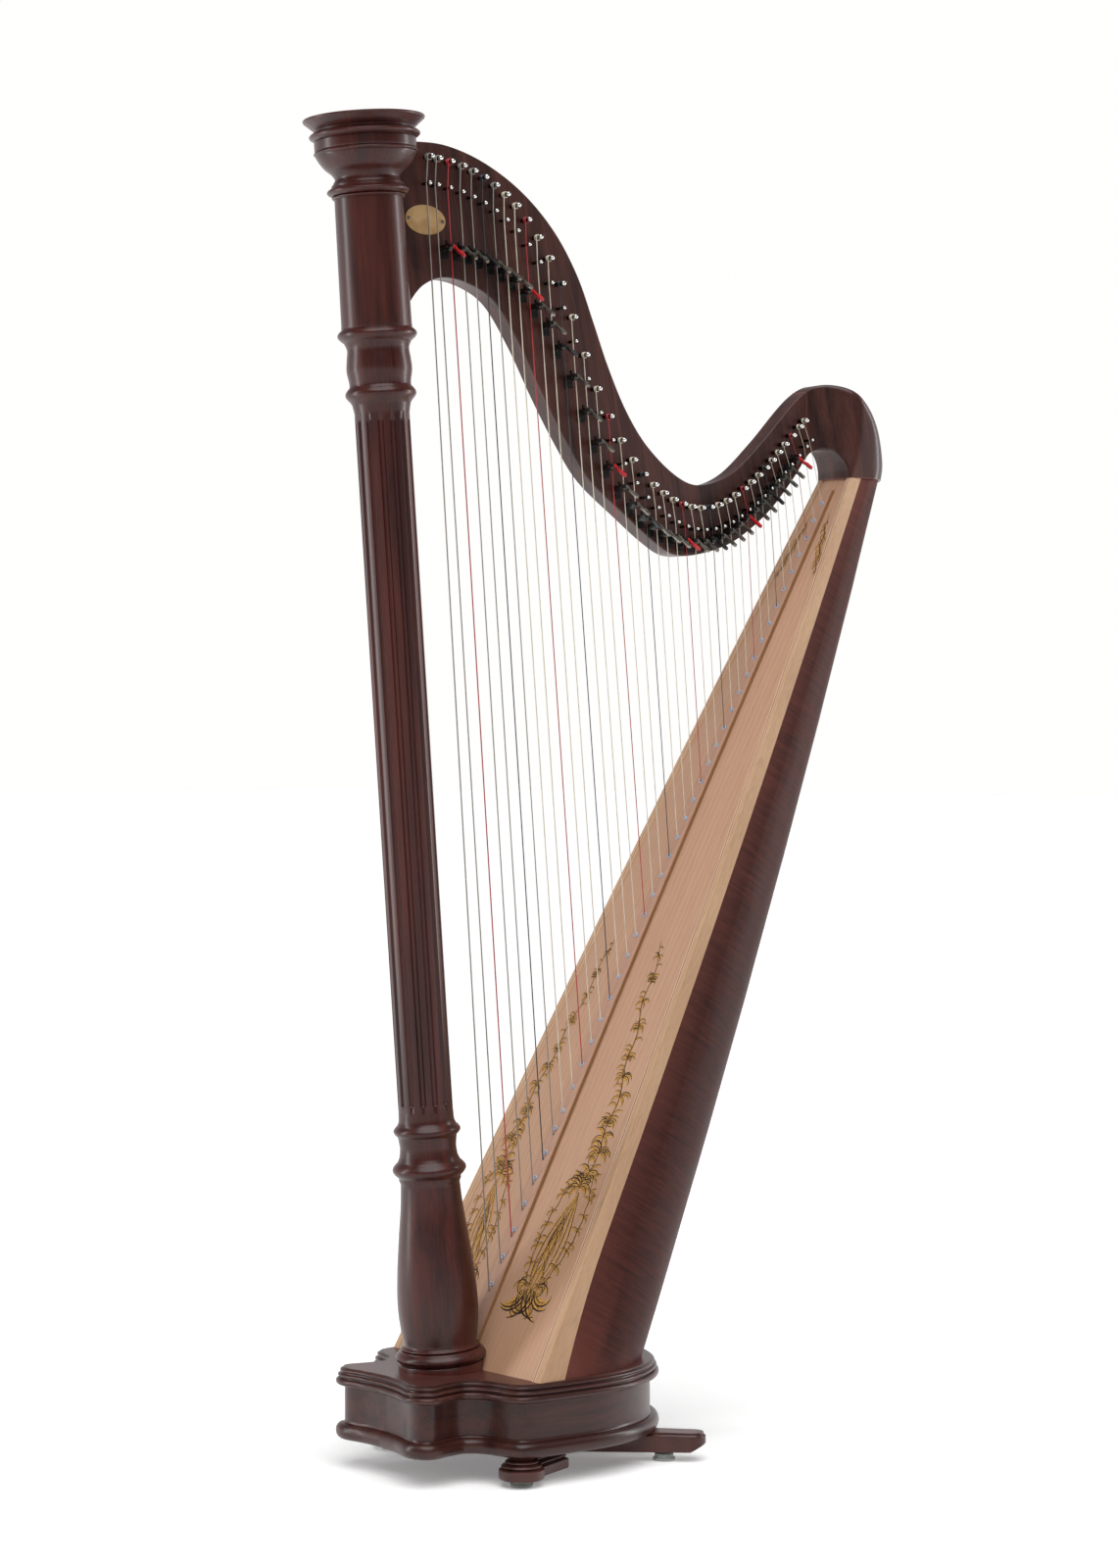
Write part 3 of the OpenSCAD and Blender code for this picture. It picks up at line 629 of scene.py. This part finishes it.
def base_part(name, low, high, replaces):
    """The part of the base's edge between two heights, as one closed board."""
    outline = base_outline()
    edge = [(d, z) for d, z in BASE_EDGE if low <= z <= high]
    bm = bmesh.new()
    add_rings(bm, [[place(x, y, z) for x, y in grown(outline, d)] for d, z in edge])
    finish_piece(name, bm, base_wood, sharp=40, replaces=replaces)


# Foot seen from above: glide place, direction, heel and toe length, toe radius, heel half width
FRONT_FOOT = (19, 129, 158, 75, 26, 26, 17)
REAR_FOOT = (235, 116, 47, 110, 49, 16, 16)
FRONT_EDGE = (
    [(-2.4, 8), (-0.7, 8.8), (0, 10.4), (0, 19)]
    + [(-1.2, 20), (-3.4, 20.6)]
    + bead(21, 25, -4.6, 1.8, 5)
    + [(-7.4, 25.4)]
    + bead(25.8, 29.4, -8.6, 1.6, 5)
    + [(-11, 29.8)]
    + bead(30, 33.4, -12.2, 1.4, 4)
    + [(-14, 34)]
)
REAR_EDGE = [(-2.2, 8), (-0.6, 9), (0, 11), (0, 29), (-0.8, 30.6), (-2.4, 32), (-2.8, 34)]
TIP_BEVEL = 0.55


def foot_outline(foot):
    """A foot seen from above, with a round toe along +X."""
    heel, toe, r, wide = foot[3:]
    start = math.degrees(math.asin(wide / r)) if wide < r else 90
    return [(-heel, -wide)] + arc(toe - r, 0, r, r, start - 180, 180 - start, 24) + [(-heel, wide)]


def add_foot(bm, foot, side, edge, bevel=0.0):
    """One foot as stacked outlines. A bevel lifts the underside of its tip."""
    x, y, turn, _, toe, r, _ = foot
    turn = Matrix.Rotation(math.radians(side * turn), 2)
    rings = []
    for d, z in edge:
        ring = []
        for p in grown(foot_outline(foot), d):
            lift = max(0, p[0] - (toe - 1.4 * r)) * bevel * max(0, (30 - z) / 22)
            q = turn @ Vector(p)
            ring.append(place(x + q.x, side * y + q.y, z + lift))
        rings.append(ring)
    add_rings(bm, rings)


def make_feet():
    bm = bmesh.new()
    for side in (-1, 1):
        add_foot(bm, FRONT_FOOT, side, FRONT_EDGE)
        add_foot(bm, REAR_FOOT, side, REAR_EDGE, TIP_BEVEL)
    finish_piece("carved_feet", bm, base_wood, sharp=35, replaces=("feet",))


# ---------- soundbox ----------

def rail_depth(t):
    return lerp(19, 16, t) + 16 * max(0, 1 - t / 0.16) ** 2


def rail_width(t):
    return lerp(18, 11, t)


def rail_section(t):
    """One cut through a rail, as (inwards from the side, out of the face)."""
    w, d = rail_width(t), rail_depth(t)
    return (
        [(0.0, -d), (0.0, -0.6 * d)]
        + arc(3, -3, 3, 3, 180, 90, 6)
        + [(w - 7.2, 0), (w - 6.6, -0.1), (w - 6.4, -0.9), (w - 5.4, -0.9), (w - 5.2, -0.1)]
        + arc(w - 4.8, -2.4, 3.4, 2.4, 90, 0, 5)
        + [(w, -RAIL_LIP - 4), (8, -RAIL_LIP - 6), (6.5, -d)]
    )


def board_stations(steps):
    """Places along the board, as shares of its length, that run past both of its cut ends."""
    return [lerp(-0.09, 1.06, k / steps) for k in range(steps + 1)]


def trimmed_piece(name, bm, material, sharp, replaces=()):
    trim(bm, BASE_TOP * MM, True)
    trim(bm, JOINT_Z * MM, False)
    finish_piece(name, bm, material, sharp=sharp, replaces=replaces)


def make_rails():
    bm = bmesh.new()
    for side in (-1, 1):
        add_rings(bm, [
            [on_board(t * BOARD_LEN, side * (half_w(t) - q), z) for q, z in rail_section(t)]
            for t in board_stations(90)])
    trimmed_piece("rail_mouldings", bm, rail_wood, 30, ("side_rails",))


def make_inlays():
    """The lines in each rail: a thin brown one inlaid in the groove, and a pale bead on each side of it whose
    pale colour is a painted highlight.
    """
    dark, pale = bmesh.new(), bmesh.new()
    for bm, at, half, top in ((dark, 5.9, 0.55, -0.35), (pale, 4.5, 0.65, 0.25), (pale, 7.9, 0.5, 0.2)):
        for side in (-1, 1):
            rings = []
            for t in board_stations(60):
                q = half_w(t) - rail_width(t) + at
                section = (
                    (q - half, -1.4), (q + half, -1.4), (q + half, top - 0.3), (q + 0.5 * half, top),
                    (q - 0.5 * half, top), (q - half, top - 0.3))
                rings.append([on_board(t * BOARD_LEN, side * y, z) for y, z in section])
            add_rings(bm, rings)
    trimmed_piece("rail_inlays", dark, inlay_wood, 30)
    trimmed_piece("rail_bead_highlights", pale, bead_highlight_wood, 30)


def make_board():
    """The bellied board as a thin closed skin."""
    bm = bmesh.new()
    rings = []
    lanes = 28
    for t in board_stations(80):
        u = t * BOARD_LEN
        wide = half_w(t) - lerp(9, 5, t)
        ys = [lerp(-wide, wide, k / lanes) for k in range(lanes + 1)]
        top = [on_board(u, y, board_height(u, y)) for y in ys]
        under = [on_board(u, y, -RAIL_LIP - 5) for y in (ys[-1], ys[0])]
        rings.append(top + under)
    add_rings(bm, rings)
    trimmed_piece("bellied_board", bm, board_wood, 30, ("soundboard",))


def rib_half(t):
    return lerp(13.6, 7.8, t)


def make_rib():
    """The string rib: a strip with rounded shoulders along the middle of the board."""
    bm = bmesh.new()
    rings = []
    for k in range(101):
        t = lerp(RIB_FROM, RIB_TO, k / 100)
        w, h = rib_half(t), rib_height(t)
        section = [(-w, h - 5.5), (-w, h - 0.7), (-w + 0.25, h - 0.2), (-w + 0.8, h)]
        section += [(-y, z) for y, z in reversed(section)]
        rings.append([on_board(t * BOARD_LEN, y, z) for y, z in section])
    add_rings(bm, rings)
    finish_piece("string_strip", bm, rib_wood_with_shade, sharp=30, replaces=("string_rib",))


def make_rib_painted_shade():
    """Painted shade on the rib's two sides: brown strips over its side faces, with a thin painted shadow line
    at their foot.
    """
    bm = bmesh.new()
    for side in (-1, 1):
        for wide, foot, head in ((0.5, -6.0, -0.5), (1.5, -6.0, -3.3)):
            rings = []
            for k in range(81):
                t = lerp(RIB_FROM, RIB_TO, k / 80)
                y, h = rib_half(t), rib_height(t)
                section = [(y + out, h + up) for out, up in (
                    (-0.6, foot), (wide, foot), (wide, head), (-0.6, head))]
                rings.append([on_board(t * BOARD_LEN, side * v, z) for v, z in section])
            add_rings(bm, rings)
    finish_piece("rib_painted_shade", bm, painted_shade_wood, sharp=30)


def make_grommets():
    """Shallow cups that the strings leave through; the wound strings have a hole below theirs. Each hole is a
    dark disc of painted shade.
    """
    bm, holes = bmesh.new(), bmesh.new()
    profile = [(1.5, -0.2), (1.5, 0.9), (1.9, 1.25), (2.6, 1.3), (3.1, 1.0), (3.4, 0.4), (3.4, -0.3)]
    up = on_board(1, 0) - on_board(0, 0)
    out = on_board(0, 0, 1) - on_board(0, 0, 0)
    across = Vector((0, MM, 0))
    for i, middle in enumerate(middles("string_grommets"), 1):
        base = middle - 0.4 * out
        rings = [hoop(base + z * out, r, up, across, 20) for r, z in profile]
        add_rings(bm, rings + rings[:1], caps=False)
        shift = WOUND_SHIFT if i <= WOUND_STRINGS else 0
        centre = base - shift * up + (0.12 if shift else 0.3) * out
        size = 1.5 if shift else 1.6
        # A flat dark disc of painted shade in place of the hole
        holes.faces.new([holes.verts.new(p) for p in hoop(centre, size, up, across, 16)])
    bmesh.ops.remove_doubles(bm, verts=bm.verts, dist=1e-7)
    finish_piece("eyelet_cups", bm, grommet_plastic, sharp=50, replaces=("string_grommets",))
    finish_piece("string_hole_shades", holes, hole_painted_shade, shade_smooth=False)


# ---------- neck and shoulder ----------

UPPER_EDGE = [
    (-84, 1519), (-32, 1526), (14, 1525.5), (67, 1511), (121, 1482), (167, 1441), (201, 1392),
    (225, 1339), (247, 1288), (275, 1236), (308, 1195), (353, 1162), (391, 1153), (438, 1169),
    (487, 1210), (536, 1259), (NECK_END, 1279.5)]
SHOULDER_CREST = [
    (583, 1288.5), (606, 1286), (628, 1275), (648, 1257), (665, 1234), (677, 1210), (683, 1190),
    (681, JOINT_Z)]
LOWER_EDGE = [
    (-60, 1296), (-53, 1318), (-39, 1343), (-20, 1363), (8, 1373), (45, 1368), (81, 1349),
    (116, 1303), (150, 1246), (184, 1194), (219, 1150), (275, 1109), (318, 1080), (350, 1066),
    (391, 1069), (443, 1086), (496, 1122), (536, 1163), (NECK_END, 1196)]
SHOULDER_ARCH = [(571, 1204), (581, 1208), (592, 1205.5), (599.5, 1195), (603, 1183), (603.5, JOINT_Z)]
EDGE_STEPS = 8
# Rounded corner of the neck's plate, as (inwards, sideways)
NECK_EDGE = 1.6
NECK_ROUND = quarter(NECK_EDGE, 5)[::-1]


def edge_parts(neck_edge, shoulder_edge):
    """One smooth line along neck and shoulder, cut in two at their joint."""
    line = smooth_line(neck_edge + shoulder_edge, EDGE_STEPS)
    joint = EDGE_STEPS * (len(neck_edge) - 1)
    return line[:joint + 1], line[joint:]


NECK_TOP, BLOCK_TOP = edge_parts(UPPER_EDGE, SHOULDER_CREST)
NECK_UNDER, BLOCK_UNDER = edge_parts(LOWER_EDGE, SHOULDER_ARCH)


def make_neck():
    # Front end hidden in the column, so that the plate has no edge there
    front = [(-90, 1400), (-84, 1500)]
    outline = NECK_UNDER + list(reversed(NECK_TOP[2:])) + list(reversed(front))
    near = [(d, NECK_NEAR + y) for d, y in NECK_ROUND]
    far = [(d, NECK_FAR - y) for d, y in reversed(NECK_ROUND)]
    bm = bmesh.new()
    rings = []
    for d, y in near + far:
        ring = grown(outline, -d)
        # The end stays on the joint with the shoulder
        rings.append([
            place(NECK_END if old[0] == NECK_END else x, y, z) for (x, z), old in zip(ring, outline)])
    add_rings(bm, rings)
    finish_piece("neck_plate", bm, neck_wood, sharp=32, replaces=("neck",))


def spread(line, count):
    """The same line with evenly spaced points."""
    runs = [0]
    for (x0, z0), (x1, z1) in zip(line, line[1:]):
        runs.append(runs[-1] + math.hypot(x1 - x0, z1 - z0))
    out = []
    k = 0
    for j in range(count):
        at = runs[-1] * j / (count - 1)
        while k < len(line) - 2 and runs[k + 1] < at:
            k += 1
        share = (at - runs[k]) / (runs[k + 1] - runs[k])
        out.append(tuple(lerp(a, b, share) for a, b in zip(line[k], line[k + 1])))
    return out


FLARE_TOP, FLARE_LOW = 68, 41.5
SHOULDER_TURN = 640
SHOULDER_END = 685


def shoulder_side(x, side, share):
    """Where the block's near (-1) or far (1) face is. The near face flares out of the neck's plate."""
    tail = max(0, x - SHOULDER_TURN) / (SHOULDER_END - SHOULDER_TURN)
    half = HALF_W_TOP * math.sqrt(1 - min(tail, 1) ** 2)
    if side > 0:
        return min(NECK_FAR, half)
    along = min((x - NECK_END) / lerp(FLARE_TOP, FLARE_LOW, share ** 2), 1)
    return max(lerp(NECK_NEAR, -HALF_W_TOP, (1 - math.cos(math.pi * along)) / 2), -half)


def make_shoulder():
    """The carved block: sections that turn from the neck's end down to the soundbox."""
    steps = 56
    rings = []
    for k, (inner, outer) in enumerate(zip(spread(BLOCK_UNDER, steps), spread(BLOCK_TOP, steps))):
        share = k / (steps - 1)
        size = math.hypot(outer[0] - inner[0], outer[1] - inner[1])
        soft = lerp(NECK_EDGE, 36, share ** 1.2)
        sharp = lerp(NECK_EDGE, 2.4, share)
        flat = [(lerp(sharp, size - soft, j / 14), 0) for j in range(1, 14)]
        corner = [(size - from_edge, drawn) for from_edge, drawn in reversed(quarter(soft, 9))]
        ring = []
        for side in (-1, 1):
            row = []
            for run, drawn in quarter(sharp, 4) + flat + corner:
                x, z = (lerp(a, b, run / size) for a, b in zip(inner, outer))
                near, far = shoulder_side(x, -1, share), shoulder_side(x, 1, share)
                middle, half = (near + far) / 2, (far - near) / 2
                row.append(place(x, middle + side * max(half - drawn, 0.01), z))
            ring += row if side < 0 else row[::-1]
        rings.append(ring)
    bm = bmesh.new()
    add_rings(bm, rings)
    finish_piece("carved_shoulder", bm, neck_wood, sharp=60, replaces=("shoulder_block",))


# ---------- strings ----------

STRING_OFF = 6.0
TUNING_R = 2.6
BRIDGE_R = 1.8
COIL_STEPS = 14


def string_radius(i):
    return lerp(0.85, 0.32, ((i - 1) / (STRING_COUNT - 1)) ** 0.7)


def string_kind(i):
    letter = "cdefgab"[(i + 4) % 7]
    if letter == "c":
        return "red"
    if letter == "f":
        return "black"
    return "wire" if i <= WOUND_STRINGS else "plain"


def string_path(i, eyelet, bridge, tuning):
    """From under the eyelet past the bridge pin, then wound round the tuning pin."""
    r = string_radius(i)
    side_y = -STRING_OFF * MM
    nut = Vector((bridge.x - (BRIDGE_R + r) * MM, side_y, bridge.z))
    reach = (TUNING_R + r) * MM
    climb = nut - eyelet
    path = [eyelet - climb.normalized() * 5 * MM] + [eyelet + climb * k / 8 for k in range(9)]
    turns = 3.6 if i <= 20 else 4.6
    to_pin = Vector((tuning.x - nut.x, 0, tuning.z - nut.z))
    swing = math.acos(min(1, reach / to_pin.length))
    first = math.atan2(-to_pin.z, -to_pin.x) - swing
    coil = []
    for k in range(int(turns * COIL_STEPS) + 1):
        a = first - math.tau * k / COIL_STEPS
        y = side_y + 2.05 * r * MM * k / COIL_STEPS
        coil.append(Vector((tuning.x + reach * math.cos(a), y, tuning.z + reach * math.sin(a))))
    path += [nut + (coil[0] - nut) * k / 4 for k in range(1, 4)]
    return path + coil


def make_strings():
    eyelets = middles("string_grommets")
    bridges = middles("bridge_pins")
    tunings = middles("tuning_pins")
    for kind, material in STRING_LOOKS.items():
        bm = bmesh.new()
        for i in range(1, STRING_COUNT + 1):
            if string_kind(i) != kind:
                continue
            eyelet = eyelets[i - 1]
            if i <= WOUND_STRINGS:
                eyelet = eyelet - WOUND_SHIFT * (on_board(1, 0) - on_board(0, 0))
            path = string_path(i, eyelet, bridges[i - 1], tunings[i - 1])
            add_tube(bm, path, string_radius(i) * MM)
        finish_piece(f"{kind}_harp_strings", bm, material, sharp=60, replaces=(f"{kind}_strings",))


# ---------- decoration of the board ----------

# Heights of the layers of paint above the board
GOLD_LIFT, LINE_LIFT, INK_LIFT = 0.16, 0.2, 0.24


def add_flat(bm, outline, side, lift):
    """A small flat shape laid on the board's face, from (u, y) points."""
    bm.faces.new([bm.verts.new(on_board(u, side * y, board_height(u, y) + lift)) for u, y in outline])


def add_ribbon(bm, points, wide, side, lift):
    """A thin line that swells in its middle and ends in a point."""
    last = len(points) - 1
    for k in range(last):
        nu, ny = sideways(points[k], points[k + 1])
        corners = []
        for j, way in ((k, -1), (k, 1), (k + 1, 1), (k + 1, -1)):
            w = way * wide * (0.35 + math.sin(math.pi * j / last))
            corners.append((points[j][0] + nu * w, points[j][1] + ny * w))
        add_flat(bm, corners, side, lift)


def curl(start, heading, size, bend, steps=8):
    """A curve that turns more and more, as a leaf tip does."""
    u, y = start
    points = [(u, y)]
    for k in range(steps):
        heading += bend * (0.4 + k / steps) / steps
        u += size / steps * math.cos(heading)
        y += size / steps * math.sin(heading)
        points.append((u, y))
    return points


def add_leaf(inks, golds, start, heading, size, bend, side, slim=0.15):
    """A curled leaf: a gold blade, shaded with dark ink along one edge and its spine."""
    spine = curl(start, heading, size, bend)
    count = len(spine) - 1
    left, right = [], []
    for k, (u, y) in enumerate(spine):
        nu, ny = sideways(spine[max(k - 1, 0)], spine[min(k + 1, count)])
        w = slim * size * math.sin(math.pi * (k / count) ** 0.7) + 0.05
        left.append((u + nu * w, y + ny * w))
        right.append((u - nu * w, y - ny * w))
    for k in range(count):
        add_flat(golds, [left[k], left[k + 1], right[k + 1], right[k]], side, GOLD_LIFT)
    heavy = max(0.3, 0.16 * slim * size)
    add_ribbon(inks, left if bend > 0 else right, heavy, side, INK_LIFT)
    add_ribbon(inks, spine[:-2], 0.45 * heavy, side, INK_LIFT)


# The line that each spray follows beside the rib: (up the board, off its middle)
MOTIF_LINE = smooth_line(
    [(62, 60), (96, 65), (165, 74), (235, 80), (300, 84), (380, 74), (460, 59), (551, 46)], 10)


def motif_axis(u):
    """How far the line is from the board's middle."""
    for (u0, y0), (u1, y1) in zip(MOTIF_LINE, MOTIF_LINE[1:]):
        if u <= u1:
            return lerp(y0, y1, (u - u0) / (u1 - u0))
    return MOTIF_LINE[-1][1]


class Spray:
    """Collects the leaves and lines of the painted sprays on one half of the board."""

    def __init__(self, inks, golds, side):
        self.inks = inks
        self.golds = golds
        self.side = side
        self.vary = random.Random(7).uniform

    def line(self, points, wide, golden=False):
        add_ribbon(self.golds if golden else self.inks, points, wide, self.side, LINE_LIFT)

    def leaf(self, at, heading, size, bend, slim=0.15):
        add_leaf(self.inks, self.golds, at, heading, size, bend, self.side, slim)

    def beside(self, u, off):
        return (u, motif_axis(u) + off)

    def rosette(self, at, heading, size, count, spread=2.6):
        """Curled leaves that open like a fan."""
        for k in range(count):
            share = k / (count - 1) - 0.5
            length = size * (1 - 0.35 * abs(share)) * self.vary(0.8, 1.15)
            self.leaf(at, heading + spread * share, length, 1.9 * (1 if share > 0 else -1))

    def tassel(self):
        """Long leaves that hang and curl out under the urn, and pairs that curl up beside it."""
        for k in range(9):
            share = k / 8 - 0.5
            start = self.beside(104 - 6 * abs(share), 22 * share)
            length = lerp(56, 38, (2 * abs(share)) ** 1.5) * self.vary(0.86, 1.08)
            bend = 1.5 * share + self.vary(0.7, 1.5) * (1 if share > 0 else -1)
            self.leaf(start, math.pi - 0.9 * share, length, -1.3 * bend if k % 3 else 1.6 * bend, 0.12)
        for way in (-1, 1):
            for u, off, turn, size, bend in (
                    (96, 8, 1.5, 28, -2.9), (104, 6, 0.9, 30, 2.3), (88, 10, 2.2, 26, 2.6)):
                self.leaf(self.beside(u, way * off), way * turn, size, way * bend, 0.12)

    def urn(self):
        """Long flowing leaves that swell into an almond and meet again above."""
        low, high = 100, 226
        for reach in (-18, -10, 0, 10, 18):
            points = [
                self.beside(lerp(low, high, k / 24), reach * math.sin(math.pi * (k / 24) ** 0.75))
                for k in range(25)]
            self.line(points, 1.3, golden=True)
            self.line([(u, y + 1.2) for u, y in points], 0.5)
        for k in range(9):
            share = k / 9
            u = lerp(low, high - 46, share)
            way = 1 if k % 2 else -1
            off = way * self.vary(0.2, 0.75) * 17 * math.sin(math.pi * (share * 0.8 + 0.1) ** 0.75)
            self.leaf(self.beside(u, off), -way * 0.1, self.vary(36, 48), -way * 0.45, 0.065)
        for way in (-1, 1):
            points = []
            for k in range(41):
                u = lerp(88, 262, k / 40)
                off = 28 * math.sin(math.pi * k / 40) ** 0.7 + math.sin(1.1 * k)
                points.append(self.beside(u, way * off))
            self.line(points, 0.5)
            self.line([(u, y - 0.6 * way) for u, y in points], 0.35, golden=True)
            for k in (4, 6, 10, 15, 17, 21, 25, 30, 32, 36):
                for turn in (0.5, 1.3, -0.7):
                    size = self.vary(8, 14)
                    self.leaf(points[k], way * turn, size, way * turn * 2.2, 0.17)

    def stem(self):
        """The rising stem with open leaves, smaller towards its tip."""
        wave = {u: 3 * math.sin(u / 13) for u in range(224, 552, 4)}
        self.line([self.beside(u, off) for u, off in wave.items()], 0.6)
        self.line([self.beside(u, off + 0.8) for u, off in wave.items()], 0.4, golden=True)
        for k, u in enumerate((232, 248, 276, 296, 316, 348, 372, 400, 436, 468, 500, 528)):
            at = self.beside(u, wave[u])
            size = lerp(26, 10, k / 11)
            self.rosette(at, 0.2 if k % 2 else -0.2, size, 7 if k % 2 == 0 else 4, 3.4)
            if k % 3 == 1:
                self.rosette(at, math.pi, 0.7 * size, 4, 2.2)
        for k in range(26):
            u = 240 + 12 * k
            way = 1 if k % 2 else -1
            start = self.beside(u, wave[u])
            heading, bend = way * self.vary(0.4, 1.0), way * self.vary(1.2, 2.8)
            self.leaf(start, heading, lerp(22, 8, k / 25), bend, 0.1)

    def hanging(self):
        """The small spray near the top of the board."""
        points = [(1150 - 92 * k / 24, 16 + 20 * k / 24 + 1.6 * math.sin(0.9 * k)) for k in range(25)]
        self.line(points, 0.5)
        for k in range(20):
            way = 1 if k % 2 else -1
            size = 4 + 7 * math.sin(math.pi * (k + 3) / 24)
            self.leaf(points[k + 3], math.pi + way * 0.8, size, -way * 1.8)


def make_decoration():
    """A generic leaf ornament in gold and dark ink on each half of the board."""
    inks, golds = bmesh.new(), bmesh.new()
    for side in (-1, 1):
        spray = Spray(inks, golds, side)
        spray.tassel()
        spray.urn()
        spray.stem()
        spray.hanging()
    finish_piece("board_ink", inks, ink, shade_smooth=False)
    finish_piece("board_gold", golds, gold, shade_smooth=False)


# ---------- CAD nodes that stay ----------

def make_plate_screws():
    """The dark heads of the two screws that hold the nameplate."""
    low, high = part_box("nameplate")
    bm = bmesh.new()
    for side in (-1, 1):
        x = (low.x + high.x) / 2 + side * ((high.x - low.x) / 2 - 4.5 * MM)
        z = (low.z + high.z) / 2
        add_rings(bm, [
            hoop(Vector((x, low.y - out * MM, z)), r * MM, Vector((1, 0, 0)), Vector((0, 0, 1)), 18)
            for r, out in ((2.1, -0.5), (2.1, 0.05), (1.7, 0.45), (1.0, 0.65), (0.3, 0.7))])
    finish_piece("plate_screws", bm, screw_steel, sharp=50)


def look(name, material, bevel=0.0, segments=2):
    """Gives a CAD node its material and softens its edges."""
    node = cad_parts[name]
    node.data.materials.clear()
    node.data.materials.append(material)
    if bevel:
        soften = node.modifiers.new("soft_edges", "BEVEL")
        soften.width = bevel * MM
        soften.segments = segments
        soften.limit_method = "ANGLE"
        soften.angle_limit = math.radians(40)


def dress_cad_nodes():
    look("foot_glides", glide_plastic, 1.0, 3)
    look("soundbox_shell", shell_wood)
    even_shading(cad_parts["soundbox_shell"])
    look("inner_bars", inner_wood, 0.8)
    look("shell_braces", inner_wood, 0.8)
    look("tuning_pins", tuning_chrome, 0.3)
    look("bridge_pins", bridge_chrome)
    look("lever_brackets", bracket_black, 0.3)
    look("nameplate", plate_brass, 0.25)
    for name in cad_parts:
        if name.startswith("lever_") and name != "lever_brackets":
            look(name, {"c": lever_red, "f": lever_black}.get(name[-1], lever_grey), 0.45, 3)


# ---------- studio ----------

CAMERA_TURN = math.radians(37)


def studio_paper():
    """White paper that throws less light back at the harp than it shows."""
    s = Shader("studio_paper", roughness=0.9, specular=0.0)
    s.set("Emission Color", (1, 1, 1, 1))
    s.set("Emission Strength", 0.2)
    cloud = s.noise(s.coords(), 1.5, 2)
    shown = s.ramp(cloud, (0.3, (0.955, 0.955, 0.95)), (0.7, (0.97, 0.97, 0.965)))
    path = s.node("LightPath", {})
    seen = s.maths("MAXIMUM", path.outputs["Is Camera Ray"], path.outputs["Is Glossy Ray"])
    s.colour(s.mix((0.42, 0.41, 0.40), shown, seen))
    return s.material


def make_floor():
    """A wide sheet of white paper."""
    bm = bmesh.new()
    bm.faces.new([bm.verts.new((x, y, 0)) for x, y in ((-60, -60), (60, -60), (60, 90), (-60, 90))])
    floor = mesh_object("studio_floor", bm, studio_paper())


def strip_light(name, at, aim, power):
    light = bpy.data.lights.new(name, "AREA")
    light.shape = "RECTANGLE"
    light.size, light.size_y = 0.6, 3.0
    light.energy = power
    lamp = new_object(name, light)
    lamp.location = at
    lamp.rotation_euler = (Vector(aim) - Vector(at)).to_track_quat("-Z", "Y").to_euler()


def soft_step(tree, value, start, end, before, after):
    """A smooth change from one value to another between start and end."""
    inputs = {"Value": value, "From Min": start, "From Max": end, "To Min": before, "To Max": after}
    return add_node(tree, "MapRange", inputs, interpolation_type="SMOOTHSTEP").outputs["Result"]


def make_air():
    """A white room: all white to the camera, bright low behind the harp and dark on the camera's side."""
    world = bpy.data.worlds.new("studio_air")
    world.use_nodes = True
    tree = world.node_tree
    seen = tree.nodes["Background"]
    seen.inputs["Color"].default_value = (1.0, 0.997, 0.985, 1)
    where = add_node(tree, "TexCoord", {}).outputs["Generated"]
    ahead = (math.sin(CAMERA_TURN), math.cos(CAMERA_TURN), 0)
    facing = add_node(tree, "VectorMath", {0: where, 1: ahead}, operation="DOT_PRODUCT")
    height = add_node(tree, "SeparateXYZ", {0: where}).outputs["Z"]
    behind = soft_step(tree, facing.outputs["Value"], -0.2, 0.85, 0.1, 0.95)
    low = soft_step(tree, height, 0.1, 0.5, 1.0, 0.3)
    both = add_node(tree, "Math", {0: behind, 1: low}, operation="MULTIPLY").outputs[0]
    air = add_node(tree, "Background", {"Color": (0.97, 0.98, 1.0, 1), "Strength": both})
    path = add_node(tree, "LightPath", {}).outputs["Is Camera Ray"]
    choice = add_node(tree, "MixShader", {0: path, 1: air.outputs[0], 2: seen.outputs[0]})
    tree.links.new(choice.outputs[0], tree.nodes["World Output"].inputs["Surface"])
    bpy.context.scene.world = world


def make_lights():
    """A wide soft light from above the camera, and tall strips to the left and right."""
    sky = bpy.data.lights.new("overhead", "SUN")
    sky.energy = 2.6
    sky.angle = math.radians(60)
    lamp = new_object("overhead", sky)
    lamp.rotation_euler = (math.radians(24), math.radians(-16), 0)
    strip_light("strip_left", (-2.5, 1.6, 1.2), (0, 0, 0.9), 40)
    strip_light("strip_right", (3.0, -1.1, 1.2), (0.2, 0, 0.9), 46)


def make_camera():
    camera = new_object("camera", bpy.data.cameras.new("camera"))
    camera.location = (-2.4240, -3.1075, 0.811)
    camera.rotation_euler = (math.radians(90), 0, -CAMERA_TURN)
    camera.data.lens = 75.53
    camera.data.sensor_width = 36
    camera.data.shift_y = -20 / 1600
    bpy.context.scene.camera = camera


bpy.context.scene.view_settings.view_transform = "Standard"
make_camera()
make_air()
make_lights()
make_floor()
make_column()
make_capital()
base_part("base_bullnose", BASE_FOOT, MOULDING_TOP, ("base_foot_moulding",))
base_part("base_wall", MOULDING_TOP, PLINTH_TOP, ("base_plinth",))
base_part("base_top_board", PLINTH_TOP, BASE_TOP, ("base_cap",))
make_feet()
make_rails()
make_inlays()
make_board()
make_rib()
make_rib_painted_shade()
make_grommets()
make_neck()
make_shoulder()
make_strings()
make_decoration()
make_plate_screws()
dress_cad_nodes()
